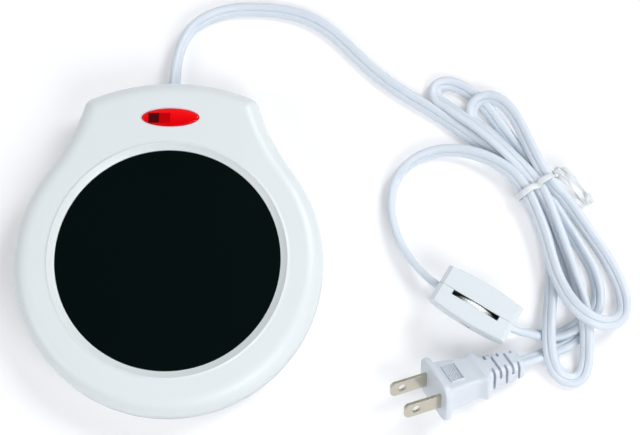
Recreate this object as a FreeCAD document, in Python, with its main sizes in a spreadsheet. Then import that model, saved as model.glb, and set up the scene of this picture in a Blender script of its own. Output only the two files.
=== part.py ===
import FreeCAD, Part
import Sketcher
import math
import os
from FreeCAD import Vector, Rotation, Placement

# Electric mug warmer with an in-line thumb wheel switch and a two blade plug
# Frame: origin under the middle of the warmer, +Y to the cord side, +Z up, feet on z = 0

doc = FreeCAD.newDocument("mug_warmer")

# Driving dimensions, millimetres and degrees

SIZES = [
    ("disc_radius", 60.0),
    ("disc_back", -6.2),
    ("tangent_angle", 37.0),
    ("neck_radius", 82.0),
    ("rear_radius", 81.8),
    ("rear_crest", 66.2),
    ("corner_radius", 7.0),
    ("shoulder_radius", 6.5),
    ("wall", 2.2),
    ("base_z", 2.0),
    ("parting_z", 8.0),
    ("top_z", 21.7),
    ("base_floor", 2.0),
    ("base_taper_out", 5.0),
    ("base_taper_up", 4.5),
    ("seat_gap", 0.3),
    ("bead_radius", 47.3),
    ("bead_size", 0.35),
    ("bevel_radius", 46.9),
    ("window_radius", 43.6),
    ("plate_radius", 43.3),
    ("plate_z", 20.7),
    ("plate_sheet", 1.2),
    ("flange_radius", 45.5),
    ("flange_drop", 2.5),
    ("pillar_radius", 2.2),
    ("post_reach", 50.3),
    ("post_radius", 3.4),
    ("post_bore", 1.5),
    ("screw_head_radius", 2.9),
    ("screw_head_height", 1.8),
    ("screw_shank_radius", 1.45),
    ("screw_length", 11.0),
    ("foot_reach", 46.0),
    ("foot_angle", 30.0),
    ("foot_radius", 5.0),
    ("foot_height", 3.2),
    ("foot_edge", 0.6),
    ("lens_y", 50.6),
    ("lens_half_length", 11.1),
    ("lens_half_width", 3.5),
    ("lens_gap", 0.15),
    ("lens_rim", 1.1),
    ("lens_rim_thick", 1.0),
    ("mica_radius", 38.0),
    ("mica_sheet", 0.4),
    ("core_radius", 36.5),
    ("core_sheet", 0.6),
    ("ribbon_width", 3.0),
    ("ribbon_pitch", 6.0),
    ("ribbon_thick", 0.15),
    ("ribbon_rows", 9.0),
    ("ribbon_first", 19.5),
    ("ribbon_length", 37.0),
    ("stack_top", 19.4),
    ("press_radius", 37.0),
    ("press_sheet", 0.9),
    ("pad_radius", 36.0),
    ("pad_height", 3.0),
    ("stud_reach", 25.0),
    ("stud_radius", 1.5),
    ("stud_hole", 1.8),
    ("stud_length", 5.2),
    ("nut_flat", 5.5),
    ("nut_height", 2.4),
    ("fuse_z", 10.4),
    ("fuse_radius", 2.0),
    ("fuse_length", 10.0),
    ("fuse_wire", 0.5),
    ("fuse_wire_past", 1.5),
    ("sleeve_length", 22.0),
    ("sleeve_radius", 2.9),
    ("lamp_z", 15.6),
    ("lamp_radius", 2.1),
    ("lamp_length", 8.0),
    ("lamp_wire", 0.35),
    ("lamp_wire_length", 4.0),
    ("lamp_sleeve_wall", 0.5),
    ("lamp_sleeve_length", 4.2),
    ("resistor_x", -17.0),
    ("resistor_radius", 1.2),
    ("resistor_length", 6.5),
    ("resistor_wire", 0.3),
    ("resistor_wire_length", 10.4),
    ("cord_size", 3.6),
    ("cord_hole_z", 6.5),
    ("cord_hole_radius", 2.2),
    ("cord_start", 55.5),
    ("cord_bore_length", 22.0),
    ("cord_bore_end", 75.5),
    ("clamp_y", 58.7),
    ("clamp_length", 22.0),
    ("clamp_width", 6.0),
    ("clamp_height", 3.0),
    ("clamp_spread", 8.0),
    ("clamp_hole", 1.35),
    ("clamp_post_radius", 3.0),
    ("clamp_post_bore", 1.3),
    ("clamp_post_bore_z", 4.4),
    ("clamp_head_radius", 2.4),
    ("clamp_head_height", 1.5),
    ("clamp_shank_radius", 1.2),
    ("clamp_screw_length", 6.4),
    ("lead_size", 1.8),
    ("lamp_lead_size", 1.0),
    ("crimp_x", 17.0),
    ("crimp_y", 45.5),
    ("crimp_radius", 2.3),
    ("crimp_length", 9.0),
    ("switch_x", 119.0),
    ("switch_y", -23.0),
    ("switch_turn", -31.5),
    ("switch_length", 36.0),
    ("switch_flat_length", 33.0),
    ("switch_height", 19.0),
    ("switch_flat_height", 17.8),
    ("switch_half", 8.85),
    ("switch_barrel", 114.0),
    ("switch_cavity_length", 24.0),
    ("switch_cavity_height", 14.6),
    ("switch_cavity_deep", 6.6),
    ("cord_way_deep", 6.2),
    ("cord_way_gap", 0.25),
    ("cord_in_switch", 4.5),
    ("running_gap", 0.1),
    ("sink_radius", 2.9),
    ("sink_deep", 1.3),
    ("slot_length", 20.4),
    ("slot_width", 2.2),
    ("wheel_radius", 9.2),
    ("wheel_thick", 1.7),
    ("wheel_teeth", 44.0),
    ("tooth_cut", 0.35),
    ("hub_radius", 5.0),
    ("hub_length", 6.0),
    ("axle_radius", 2.5),
    ("axle_bore", 1.6),
    ("contact_radius", 6.6),
    ("contact_thick", 1.2),
    ("contact_flat", 4.6),
    ("terminal_gap", 0.4),
    ("terminal_thick", 0.6),
    ("terminal_width", 2.2),
    ("terminal_height", 9.0),
    ("terminal_foot", 3.6),
    ("terminal_foot_thick", 0.8),
    ("switch_lead_size", 1.6),
    ("switch_head_radius", 2.6),
    ("switch_nut_radius", 2.7),
    ("switch_nut_height", 1.1),
    ("plug_x", 103.1),
    ("plug_y", -55.3),
    ("plug_z", 13.9),
    ("plug_turn", 198.5),
    ("plug_pitch", 10.0),
    ("plug_roll", 36.0),
    ("flange_width", 23.0),
    ("flange_height", 16.0),
    ("flange_thick", 2.4),
    ("flange_round", 2.4),
    ("waist_width", 18.6),
    ("waist_height", 12.0),
    ("waist_length", 14.5),
    ("waist_narrowing", 2.4),
    ("waist_thinning", 0.6),
    ("shoulder_width", 19.5),
    ("shoulder_height", 13.2),
    ("shoulder_thick", 4.0),
    ("relief_length", 17.0),
    ("relief_width", 12.5),
    ("relief_height", 10.0),
    ("relief_end_width", 9.5),
    ("relief_end_height", 8.0),
    ("rib_pitch", 3.2),
    ("rib_gap", 1.1),
    ("rib_deep", 2.2),
    ("rib_first", 2.2),
    ("rib_face_deep", 1.6),
    ("rib_face_width", 5.4),
    ("grip_length", 7.6),
    ("grip_width", 9.4),
    ("grip_thick", 0.5),
    ("grip_back", 12.6),
    ("blade_spacing", 12.7),
    ("blade_width", 6.35),
    ("blade_thick", 1.5),
    ("blade_reach", 16.5),
    ("blade_root", 9.0),
    ("blade_hole", 1.55),
    ("blade_hole_reach", 11.9),
    ("blade_tip", 0.9),
    ("tie_x", 144.1),
    ("tie_y", 26.9),
    ("tie_turn", -59.2),
    ("tie_slot", 4.9),
    ("tie_low", 2.45),
    ("tie_high", 6.55),
    ("tie_pass", 6.0),
    ("tie_wide", 2.2),
    ("tie_thick", 0.5),
    ("tie_room", 0.25),
    ("tie_tail_size", 1.2),
    ("tie_knot", 1.4),
]

sheet = doc.addObject("Spreadsheet::Sheet", "Sizes")
size = {}
for row, (alias, value) in enumerate(SIZES, start=1):
    sheet.set("A%d" % row, alias)
    sheet.set("B%d" % row, repr(value))
    sheet.setAlias("B%d" % row, alias)
    size[alias] = value
doc.recompute()

KEPT = []


def keep(obj, name):
    """Make an object one of the sub-parts: its Label names its file."""
    obj.Label = name
    KEPT.append((name, obj))
    return obj


def bind(obj, **formulas):
    """Bind properties to formulas over the sheet, which are written with its aliases."""
    for prop, formula in formulas.items():
        path = prop.replace("__", ".")
        obj.setExpression(path, formula)
    return obj


def place(obj, x="0", y="0", z="0", axis=None, angle=None):
    """Bind an object's place to formulas, after its rotation is set."""
    if axis is not None:
        obj.Placement = Placement(Vector(0, 0, 0), Rotation(axis, angle))
    bind(obj, Placement__Base__x=x, Placement__Base__y=y, Placement__Base__z=z)
    return obj


def cylinder(name, radius, height, x="0", y="0", z="0", axis=None, angle=None):
    obj = doc.addObject("Part::Cylinder", name)
    bind(obj, Radius=radius, Height=height)
    return place(obj, x, y, z, axis, angle)


def cone(name, low, high, height, x="0", y="0", z="0"):
    obj = doc.addObject("Part::Cone", name)
    bind(obj, Radius1=low, Radius2=high, Height=height)
    return place(obj, x, y, z)


def block(name, length, width, height, x="0", y="0", z="0"):
    """A box whose x, y, z give its lowest corner."""
    obj = doc.addObject("Part::Box", name)
    bind(obj, Length=length, Width=width, Height=height)
    return place(obj, x, y, z)


def wedge(name, near, far, depth):
    """A tapered block along +Y: near and far are the (length, height) pairs of its two ends."""
    obj = doc.addObject("Part::Wedge", name)
    bind(obj, Xmin="-(%s) / 2" % near[0], Xmax="(%s) / 2" % near[0])
    bind(obj, Zmin="-(%s) / 2" % near[1], Zmax="(%s) / 2" % near[1])
    bind(obj, X2min="-(%s) / 2" % far[0], X2max="(%s) / 2" % far[0])
    bind(obj, Z2min="-(%s) / 2" % far[1], Z2max="(%s) / 2" % far[1])
    bind(obj, Ymin="0", Ymax=depth)
    return obj


def fuse(name, shapes):
    obj = doc.addObject("Part::MultiFuse", name)
    obj.Shapes = shapes
    return obj


def common(name, shapes):
    obj = doc.addObject("Part::MultiCommon", name)
    obj.Shapes = shapes
    return obj


def cut(name, base, tool):
    obj = doc.addObject("Part::Cut", name)
    obj.Base = base
    obj.Tool = tool
    return obj


def wrapped(name, obj):
    """A compound of one object, so that it can be placed once more."""
    holder = doc.addObject("Part::Compound", name)
    holder.Links = [obj]
    return holder


def origin_plane(body, role):
    return [f for f in body.Origin.OriginFeatures if f.Role == role][0]


def new_body(name):
    return doc.addObject("PartDesign::Body", name)


def new_sketch(body, name, role, offset="0"):
    sketch = body.newObject("Sketcher::SketchObject", name)
    sketch.AttachmentSupport = [(origin_plane(body, role), "")]
    sketch.MapMode = "FlatFace"
    bind(sketch, AttachmentOffset__Base__z=offset)
    return sketch


def measure(formula):
    """The value of a formula over the sheet, for a sketch's first guess."""
    value = sheet.evalExpression(formula)
    return float(getattr(value, "Value", value))


def draw_outline(sketch, corners):
    """A closed outline of straight lines, each corner bound to two formulas."""
    spots = [Vector(measure(x), measure(y), 0) for x, y in corners]
    count = len(spots)
    for i in range(count):
        sketch.addGeometry(Part.LineSegment(spots[i], spots[(i + 1) % count]), False)
    for i in range(count):
        sketch.addConstraint(Sketcher.Constraint("Coincident", i, 2, (i + 1) % count, 1))
    for i, (x, y) in enumerate(corners):
        at_x = sketch.addConstraint(Sketcher.Constraint("DistanceX", -1, 1, i, 1, spots[i].x))
        sketch.setExpression("Constraints[%d]" % at_x, x)
        at_y = sketch.addConstraint(Sketcher.Constraint("DistanceY", -1, 1, i, 1, spots[i].y))
        sketch.setExpression("Constraints[%d]" % at_y, y)


def draw_circle(sketch, radius, x="0", y="0"):
    index = sketch.addGeometry(Part.Circle(Vector(measure(x), measure(y), 0), Vector(0, 0, 1),
                                           measure(radius)), False)
    at_r = sketch.addConstraint(Sketcher.Constraint("Radius", index, measure(radius)))
    sketch.setExpression("Constraints[%d]" % at_r, radius)
    at_x = sketch.addConstraint(Sketcher.Constraint("DistanceX", -1, 1, index, 3, measure(x)))
    sketch.setExpression("Constraints[%d]" % at_x, x)
    at_y = sketch.addConstraint(Sketcher.Constraint("DistanceY", -1, 1, index, 3, measure(y)))
    sketch.setExpression("Constraints[%d]" % at_y, y)


def pad(body, sketch, length, name):
    feature = body.newObject("PartDesign::Pad", name)
    feature.Profile = sketch
    bind(feature, Length=length)
    return feature


def revolved(name, corners):
    """A turned piece: its half section stands in the XZ plane and turns about Z."""
    body = new_body(name)
    sketch = new_sketch(body, name + "_section", "XZ_Plane")
    draw_outline(sketch, corners)
    feature = body.newObject("PartDesign::Revolution", name + "_turn")
    feature.Profile = sketch
    feature.ReferenceAxis = (sketch, ["V_Axis"])
    feature.Angle = 360.0
    body.Tip = feature
    return body


# Warmer case


def case_block(name, inset, low, high):
    """The case's plan shape between two heights: a disc, a neck drawn in by two arcs, a rear arc."""
    reach = "(Sizes.disc_radius + Sizes.neck_radius)"
    side_x = reach + " * cos(Sizes.tangent_angle * 1deg)"
    side_y = "Sizes.disc_back + " + reach + " * sin(Sizes.tangent_angle * 1deg)"
    height = "(%s) - (%s)" % (high, low)
    disc = cylinder(name + "_disc", "Sizes.disc_radius - (%s)" % inset, height, y="Sizes.disc_back", z=low)
    half = "Sizes.disc_radius * cos(Sizes.tangent_angle * 1deg)"
    neck = block(name + "_neck", "2 * " + half, "Sizes.rear_crest", height, x="-" + half, z=low)
    bites = []
    for side, sign in (("right", ""), ("left", "-")):
        bite = cylinder(name + "_bite_" + side, "Sizes.neck_radius + (%s)" % inset, height,
                        x=sign + side_x, y=side_y, z=low)
        bites.append(bite)
    waisted = cut(name + "_waisted", neck, fuse(name + "_bites", bites))
    rear = cylinder(name + "_rear", "Sizes.rear_radius - (%s)" % inset, height,
                    y="Sizes.rear_crest - Sizes.rear_radius", z=low)
    trimmed = common(name + "_trimmed", [waisted, rear])
    whole = fuse(name, [disc, trimmed])
    whole.Refine = True
    doc.recompute()
    return whole


def round_corners(name, solid, radius):
    """Round the two upright edges where the neck meets the rear arc."""
    picked = []
    for index, edge in enumerate(solid.Shape.Edges, start=1):
        box = edge.BoundBox
        upright = box.ZLength > 1.0 and box.XLength < 0.01 and box.YLength < 0.01
        if upright and box.YMin > size["lens_y"]:
            picked.append((index, radius, radius))
    obj = doc.addObject("Part::Fillet", name)
    obj.Base = solid
    obj.Edges = picked
    doc.recompute()
    return obj


def rim_edges(solid, level, one, two):
    """The edges of a solid that lie at one height, with the two sizes they are dressed by."""
    picked = []
    for index, edge in enumerate(solid.Shape.Edges, start=1):
        box = edge.BoundBox
        if box.ZLength < 0.01 and abs(box.ZMin - level) < 0.01:
            picked.append((index, one, two))
    return picked


def shouldered(name, solid, level, radius):
    obj = doc.addObject("Part::Fillet", name)
    obj.Base = solid
    obj.Edges = rim_edges(solid, level, radius, radius)
    doc.recompute()
    return obj


def cased(name, inset, low, high):
    solid = case_block(name + "_block", inset, low, high)
    return round_corners(name, solid, size["corner_radius"] - measure(inset))


def around(count, first, reach):
    """Places evenly spaced about the warming plate's axis."""
    spots = []
    for i in range(count):
        angle = "(%s + %s) * 1deg" % (first, 360.0 / count * i)
        spots.append(("%s * cos(%s)" % (reach, angle), "Sizes.disc_back + %s * sin(%s)" % (reach, angle)))
    return spots


POSTS = around(4, 45.0, "Sizes.post_reach")
PILLARS = around(4, 0.0, "(Sizes.flange_radius - Sizes.pillar_radius)")
STUDS = around(3, 90.0, "Sizes.stud_reach")
FEET = [
    ("%s Sizes.foot_reach * cos(Sizes.foot_angle * 1deg)" % sx,
     "Sizes.disc_back %s Sizes.foot_reach * sin(Sizes.foot_angle * 1deg)" % sy)
    for sx, sy in (("", "+"), ("-", "+"), ("-", "-"), ("", "-"))
]


def cord_bore(name):
    """The round way through the rear wall, half in each shell."""
    return cylinder(name, "Sizes.cord_hole_radius", "Sizes.cord_bore_length", y="Sizes.cord_bore_end",
                    z="Sizes.cord_hole_z", axis=Vector(1, 0, 0), angle=90)


def lens_prism(name, grow, low, height):
    oval = doc.addObject("Part::Ellipse", name + "_oval")
    bind(oval, MajorRadius="Sizes.lens_half_length + (%s)" % grow,
         MinorRadius="Sizes.lens_half_width + (%s)" % grow)
    place(oval, y="Sizes.lens_y", z=low)
    prism = doc.addObject("Part::Extrusion", name)
    prism.Base = oval
    prism.Dir = Vector(0, 0, 1)
    prism.DirMode = "Custom"
    prism.Solid = True
    bind(prism, LengthFwd=height)
    return prism


def upper_housing():
    outer = cased("upper_outer", "0", "Sizes.parting_z", "Sizes.top_z")
    outer = shouldered("upper_shoulder", outer, size["top_z"], size["shoulder_radius"])
    hollow = cased("upper_hollow", "Sizes.wall", "Sizes.parting_z - 1", "Sizes.top_z - Sizes.wall")
    hollow = shouldered("upper_hollow_shoulder", hollow, size["top_z"] - size["wall"],
                        size["shoulder_radius"] - size["wall"])
    window = cylinder("window", "Sizes.window_radius", "Sizes.wall * 3", y="Sizes.disc_back",
                      z="Sizes.top_z - Sizes.wall * 2")
    bevel = cone("window_bevel", "Sizes.window_radius", "Sizes.bevel_radius", "Sizes.top_z - Sizes.plate_z",
                 y="Sizes.disc_back", z="Sizes.plate_z")
    lens_way = lens_prism("lens_way", "0", "Sizes.top_z - Sizes.wall * 2", "Sizes.wall * 3")
    shell = cut("upper_shell", outer, fuse("upper_voids", [hollow, window, bevel, lens_way]))
    bead = doc.addObject("Part::Torus", "window_bead")
    bind(bead, Radius1="Sizes.bead_radius", Radius2="Sizes.bead_size")
    place(bead, y="Sizes.disc_back", z="Sizes.top_z")
    posts = []
    bores = [cord_bore("upper_cord_bore")]
    for i, (x, y) in enumerate(POSTS):
        posts.append(cylinder("post_%d" % i, "Sizes.post_radius",
                              "Sizes.top_z - Sizes.wall / 2 - Sizes.parting_z - Sizes.seat_gap",
                              x=x, y=y, z="Sizes.parting_z + Sizes.seat_gap"))
        bores.append(cylinder("post_bore_%d" % i, "Sizes.post_bore", "Sizes.screw_length", x=x, y=y,
                              z="Sizes.parting_z - 1"))
    whole = fuse("upper_whole", [shell, bead] + posts)
    keep(cut("upper_housing_cut", whole, fuse("upper_bores", bores)), "upper_housing")


def chamfered(name, solid, level, out, up):
    """Slope the wall in toward one level, so that the part tapers to its base."""
    obj = doc.addObject("Part::Chamfer", name)
    obj.Base = solid
    obj.Edges = rim_edges(solid, level, up, out)
    doc.recompute()
    return obj


def bottom_cover():
    outer = cased("lower_outer", "0", "Sizes.base_z", "Sizes.parting_z")
    outer = chamfered("lower_taper", outer, size["base_z"], size["base_taper_out"], size["base_taper_up"])
    low = "Sizes.base_z + Sizes.base_floor"
    hollow = cased("lower_hollow", "Sizes.wall", low, "Sizes.parting_z + 1")
    hollow = chamfered("lower_hollow_taper", hollow, measure(low), size["base_taper_out"] - 1.0,
                       size["base_taper_up"] - 1.5)
    shell = cut("lower_shell", outer, hollow)
    solids = [shell]
    holes = [cord_bore("lower_cord_bore")]
    for i, (x, y) in enumerate(POSTS):
        solids.append(cylinder("boss_%d" % i, "Sizes.post_radius",
                               "Sizes.parting_z - Sizes.base_z - Sizes.seat_gap", x=x, y=y,
                               z="Sizes.base_z + Sizes.seat_gap / 2"))
        holes.append(cylinder("boss_bore_%d" % i, "Sizes.post_bore + 0.2", "Sizes.parting_z", x=x, y=y,
                              z="Sizes.base_z - 1"))
        holes.append(cylinder("boss_sink_%d" % i, "Sizes.screw_head_radius + 0.2",
                              "Sizes.screw_head_height + Sizes.seat_gap + 1", x=x, y=y,
                              z="Sizes.base_z - 1"))
    for i, (x, y) in enumerate(PILLARS):
        solids.append(cylinder("pillar_%d" % i, "Sizes.pillar_radius",
                               "Sizes.plate_z - Sizes.flange_drop - 0.1 - Sizes.base_z - 1",
                               x=x, y=y, z="Sizes.base_z + 1"))
    for i, (x, y) in enumerate(FEET):
        holes.append(cylinder("foot_seat_%d" % i, "Sizes.foot_radius + 0.1", "Sizes.foot_height",
                              x=x, y=y, z="0"))
    for side in (-1, 1):
        solids.append(cylinder("clamp_post_%d" % (side + 1), "Sizes.clamp_post_radius",
                               "Sizes.cord_hole_z + Sizes.cord_size / 2 - Sizes.base_z - 1",
                               x="%d * Sizes.clamp_spread" % side, y="Sizes.clamp_y",
                               z="Sizes.base_z + 1"))
        holes.append(cylinder("clamp_post_bore_%d" % (side + 1), "Sizes.clamp_post_bore",
                              "Sizes.parting_z", x="%d * Sizes.clamp_spread" % side,
                              y="Sizes.clamp_y", z="Sizes.clamp_post_bore_z"))
    whole = fuse("lower_whole", solids)
    keep(cut("bottom_cover_cut", whole, fuse("lower_holes", holes)), "bottom_cover")


def warming_plate():
    top = "Sizes.plate_z"
    under = "Sizes.plate_z - Sizes.plate_sheet"
    flange_top = "Sizes.plate_z - Sizes.flange_drop + Sizes.plate_sheet"
    flange_low = "Sizes.plate_z - Sizes.flange_drop"
    plate = revolved("plate_body", [
        ("0", under), ("0", top), ("Sizes.plate_radius", top), ("Sizes.plate_radius", flange_top),
        ("Sizes.flange_radius", flange_top), ("Sizes.flange_radius", flange_low),
        ("Sizes.plate_radius - Sizes.plate_sheet", flange_low),
        ("Sizes.plate_radius - Sizes.plate_sheet", under)])
    place(plate, y="Sizes.disc_back")
    keep(plate, "warming_plate")
    studs = [cylinder("stud_%d" % i, "Sizes.stud_radius", "Sizes.stud_length", x=x, y=y,
                      z="Sizes.stack_top + 0.1 - Sizes.stud_length") for i, (x, y) in enumerate(STUDS)]
    keep(fuse("studs", studs), "plate_studs")
    nuts = []
    for i, (x, y) in enumerate(STUDS):
        hexagon = doc.addObject("Part::Prism", "nut_%d" % i)
        hexagon.Polygon = 6
        bind(hexagon, Circumradius="Sizes.nut_flat / 2 / cos(30deg)", Height="Sizes.nut_height")
        place(hexagon, x, y, "Sizes.stack_top - 2.8 - Sizes.nut_height")
        nuts.append(cut("nut_cut_%d" % i, hexagon,
                        cylinder("nut_bore_%d" % i, "Sizes.stud_radius + 0.02", "5", x=x, y=y,
                                 z="Sizes.stack_top - 3.2 - Sizes.nut_height")))
    keep(fuse("nuts", nuts), "stud_nuts")


def stack_disc(name, radius, top, thick, hole="Sizes.stud_hole"):
    """A round sheet of the heater stack, pierced for the three studs."""
    low = "Sizes.stack_top - %s - (%s)" % (top, thick)
    disc = cylinder(name + "_disc", radius, thick, y="Sizes.disc_back", z=low)
    holes = [cylinder("%s_hole_%d" % (name, i), hole, "(%s) + 2" % thick, x=x, y=y, z=low + " - 1")
             for i, (x, y) in enumerate(STUDS)]
    keep(cut(name + "_cut", disc, fuse(name + "_holes", holes)), name)


def heater():
    stack_disc("upper_mica_sheet", "Sizes.mica_radius", 0.05, "Sizes.mica_sheet")
    stack_disc("heater_core", "Sizes.core_radius", 0.7, "Sizes.core_sheet")
    stack_disc("lower_mica_sheet", "Sizes.mica_radius", 1.5, "Sizes.mica_sheet")
    stack_disc("pressure_plate", "Sizes.press_radius", 1.9, "Sizes.press_sheet")
    stack_disc("insulation_pad", "Sizes.pad_radius", 2.8, "Sizes.pad_height", "Sizes.nut_flat * 0.65")
    ribbon()


def ribbon():
    """The heating ribbon runs back and forth across the core, one row to each pitch."""
    rows = int(size["ribbon_rows"])
    low = "Sizes.stack_top - 0.68"
    pieces = []
    for i in range(rows):
        y = "Sizes.disc_back + Sizes.ribbon_first - %d * Sizes.ribbon_pitch" % i
        pieces.append(block("ribbon_row_%d" % i, "Sizes.ribbon_length", "Sizes.ribbon_width",
                            "Sizes.ribbon_thick", x="-Sizes.ribbon_length / 2", y=y, z=low))
        if i < rows - 1:
            side = "-Sizes.ribbon_length / 2" if i % 2 else "Sizes.ribbon_length / 2 - Sizes.ribbon_width"
            pieces.append(block("ribbon_turn_%d" % i, "Sizes.ribbon_width",
                                "Sizes.ribbon_pitch + Sizes.ribbon_width", "Sizes.ribbon_thick",
                                x=side, y=y + " - Sizes.ribbon_pitch", z=low))
    keep(fuse("ribbon_fuse", pieces), "heating_ribbon")


def screw_group(name, label, spots, head_z, head_radius, head_height, shank, length, up):
    """Identical screws, head at head_z, shank running up or down from it."""
    pieces = []
    for i, (x, y) in enumerate(spots):
        section = [("0", "0"), (head_radius, "0"), (head_radius, head_height), (shank, head_height),
                   (shank, length), ("0", length + " + 1")]
        screw = revolved("%s_%d" % (name, i), section)
        if not up:
            screw.Placement = Placement(Vector(0, 0, 0), Rotation(Vector(1, 0, 0), 180))
        place(screw, x, y, head_z)
        pieces.append(screw)
    keep(fuse(name + "s", pieces), label)


def fasteners_and_feet():
    screw_group("cover_screw", "cover_screws", POSTS, "Sizes.base_z + Sizes.seat_gap",
                "Sizes.screw_head_radius", "Sizes.screw_head_height", "Sizes.screw_shank_radius",
                "Sizes.screw_length", True)
    feet = []
    for i, (x, y) in enumerate(FEET):
        foot = revolved("foot_%d" % i, [
            ("0", "0"), ("Sizes.foot_radius - Sizes.foot_edge", "0"),
            ("Sizes.foot_radius", "Sizes.foot_edge"), ("Sizes.foot_radius", "Sizes.foot_height"),
            ("0", "Sizes.foot_height")])
        place(foot, x, y, "0")
        feet.append(foot)
    keep(fuse("feet", feet), "rubber_feet")
    spots = [("%d * Sizes.clamp_spread" % side, "Sizes.clamp_y") for side in (-1, 1)]
    clamp_z = "Sizes.cord_hole_z + Sizes.cord_size / 2"
    screw_group("clamp_screw", "clamp_screws", spots,
                clamp_z + " + Sizes.clamp_height + Sizes.clamp_head_height + 0.1",
                "Sizes.clamp_head_radius", "Sizes.clamp_head_height", "Sizes.clamp_shank_radius",
                "Sizes.clamp_screw_length", False)
    bar = block("clamp_bar", "Sizes.clamp_length", "Sizes.clamp_width", "Sizes.clamp_height",
                x="-Sizes.clamp_length / 2", y="Sizes.clamp_y - Sizes.clamp_width / 2",
                z=clamp_z + " + 0.05")
    holes = [cylinder("clamp_hole_%d" % i, "Sizes.clamp_hole", "Sizes.clamp_height * 3", x=x, y=y,
                      z=clamp_z + " - Sizes.clamp_height") for i, (x, y) in enumerate(spots)]
    keep(cut("cord_clamp_cut", bar, fuse("clamp_holes", holes)), "cord_clamp")


def indicator():
    lens = lens_prism("lens_top", "-Sizes.lens_gap", "Sizes.top_z - Sizes.wall - 0.1", "Sizes.wall + 0.2")
    rim = lens_prism("lens_rim", "Sizes.lens_rim", "Sizes.top_z - Sizes.wall - Sizes.lens_rim_thick - 0.1",
                     "Sizes.lens_rim_thick")
    keep(fuse("lens_whole", [lens, rim]), "indicator_lens")
    turn = Vector(0, 1, 0)
    glass = cylinder("lamp_glass", "Sizes.lamp_radius", "Sizes.lamp_length", x="-Sizes.lamp_length",
                     y="Sizes.lens_y", z="Sizes.lamp_z", axis=turn, angle=90)
    wire = cylinder("lamp_wire", "Sizes.lamp_wire", "Sizes.lamp_wire_length", x="-0.1", y="Sizes.lens_y",
                    z="Sizes.lamp_z", axis=turn, angle=90)
    keep(fuse("lamp", [glass, wire]), "neon_lamp")
    outer = cylinder("lamp_tube", "Sizes.lamp_radius + Sizes.lamp_sleeve_wall", "Sizes.lamp_sleeve_length",
                     x="-Sizes.lamp_length - 0.6", y="Sizes.lens_y", z="Sizes.lamp_z", axis=turn, angle=90)
    bore = cylinder("lamp_tube_bore", "Sizes.lamp_radius + 0.05", "Sizes.lamp_sleeve_length + 2",
                    x="-Sizes.lamp_length - 1", y="Sizes.lens_y", z="Sizes.lamp_z", axis=turn, angle=90)
    keep(cut("lamp_sleeve_cut", outer, bore), "lamp_sleeve")
    barrel = cylinder("resistor_body", "Sizes.resistor_radius", "Sizes.resistor_length",
                      x="Sizes.resistor_x", y="Sizes.lens_y", z="Sizes.lamp_z", axis=turn, angle=90)
    ends = cylinder("resistor_ends", "Sizes.resistor_wire", "Sizes.resistor_wire_length",
                    x="Sizes.resistor_x - 1.8", y="Sizes.lens_y", z="Sizes.lamp_z", axis=turn, angle=90)
    keep(fuse("resistor", [barrel, ends]), "lamp_resistor")


# Tubes: cords and leads


def bent_path(points):
    """Straight runs joined by tangent arcs, each as large as its two runs allow."""
    points = [Vector(*p) for p in points]
    radii = []
    edges = []
    here = points[0]
    for before, corner, after in zip(points, points[1:], points[2:]):
        back = before - corner
        ahead = after - corner
        shorter = min(back.Length, ahead.Length)
        turn = math.pi - back.getAngle(ahead)
        reach = 0.45 * shorter
        radii.append(reach / math.tan(turn / 2))
        back.normalize()
        ahead.normalize()
        start = corner + back * reach
        end = corner + ahead * reach
        middle_way = (back + ahead).normalize()
        to_centre = radii[-1] / math.cos(turn / 2)
        middle = corner + middle_way * (to_centre - radii[-1])
        edges.append(Part.LineSegment(here, start).toShape())
        edges.append(Part.Arc(start, middle, end).toShape())
        here = end
    edges.append(Part.LineSegment(here, points[-1]).toShape())
    return edges, radii


def swept(edges, diameter):
    """A round tube along the edges, started square to the first of them."""
    path = Part.Wire(edges)
    first = edges[0]
    start = first.valueAt(first.FirstParameter)
    heading = first.tangentAt(first.FirstParameter)
    ring = Part.Wire([Part.makeCircle(diameter / 2, start, heading)])
    tube = path.makePipeShell([ring], True, False)
    return tube, path.Length


def tube(name, points, diameter):
    """A free stretch of cord as a plain tube of its own node."""
    edges, radii = bent_path(points)
    shape, length = swept(edges, diameter)
    want = math.pi * diameter ** 2 / 4 * length
    print("%s: length %.1f, volume over section times length %.4f, least radius %.1f, radii %s"
          % (name, length, shape.Volume / want, min(radii), [round(r, 1) for r in radii]))
    return keep(shaped(name + "_tube", shape), name)


def shaped(name, shape):
    """An object that holds a swept shape."""
    obj = doc.addObject("Part::Feature", name)
    obj.Shape = shape
    return obj


def lead(name, points, diameter):
    """One insulated lead, swept along its route."""
    edges, radii = bent_path(points)
    shape, length = swept(edges, diameter)
    return shaped(name, shape)


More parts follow.
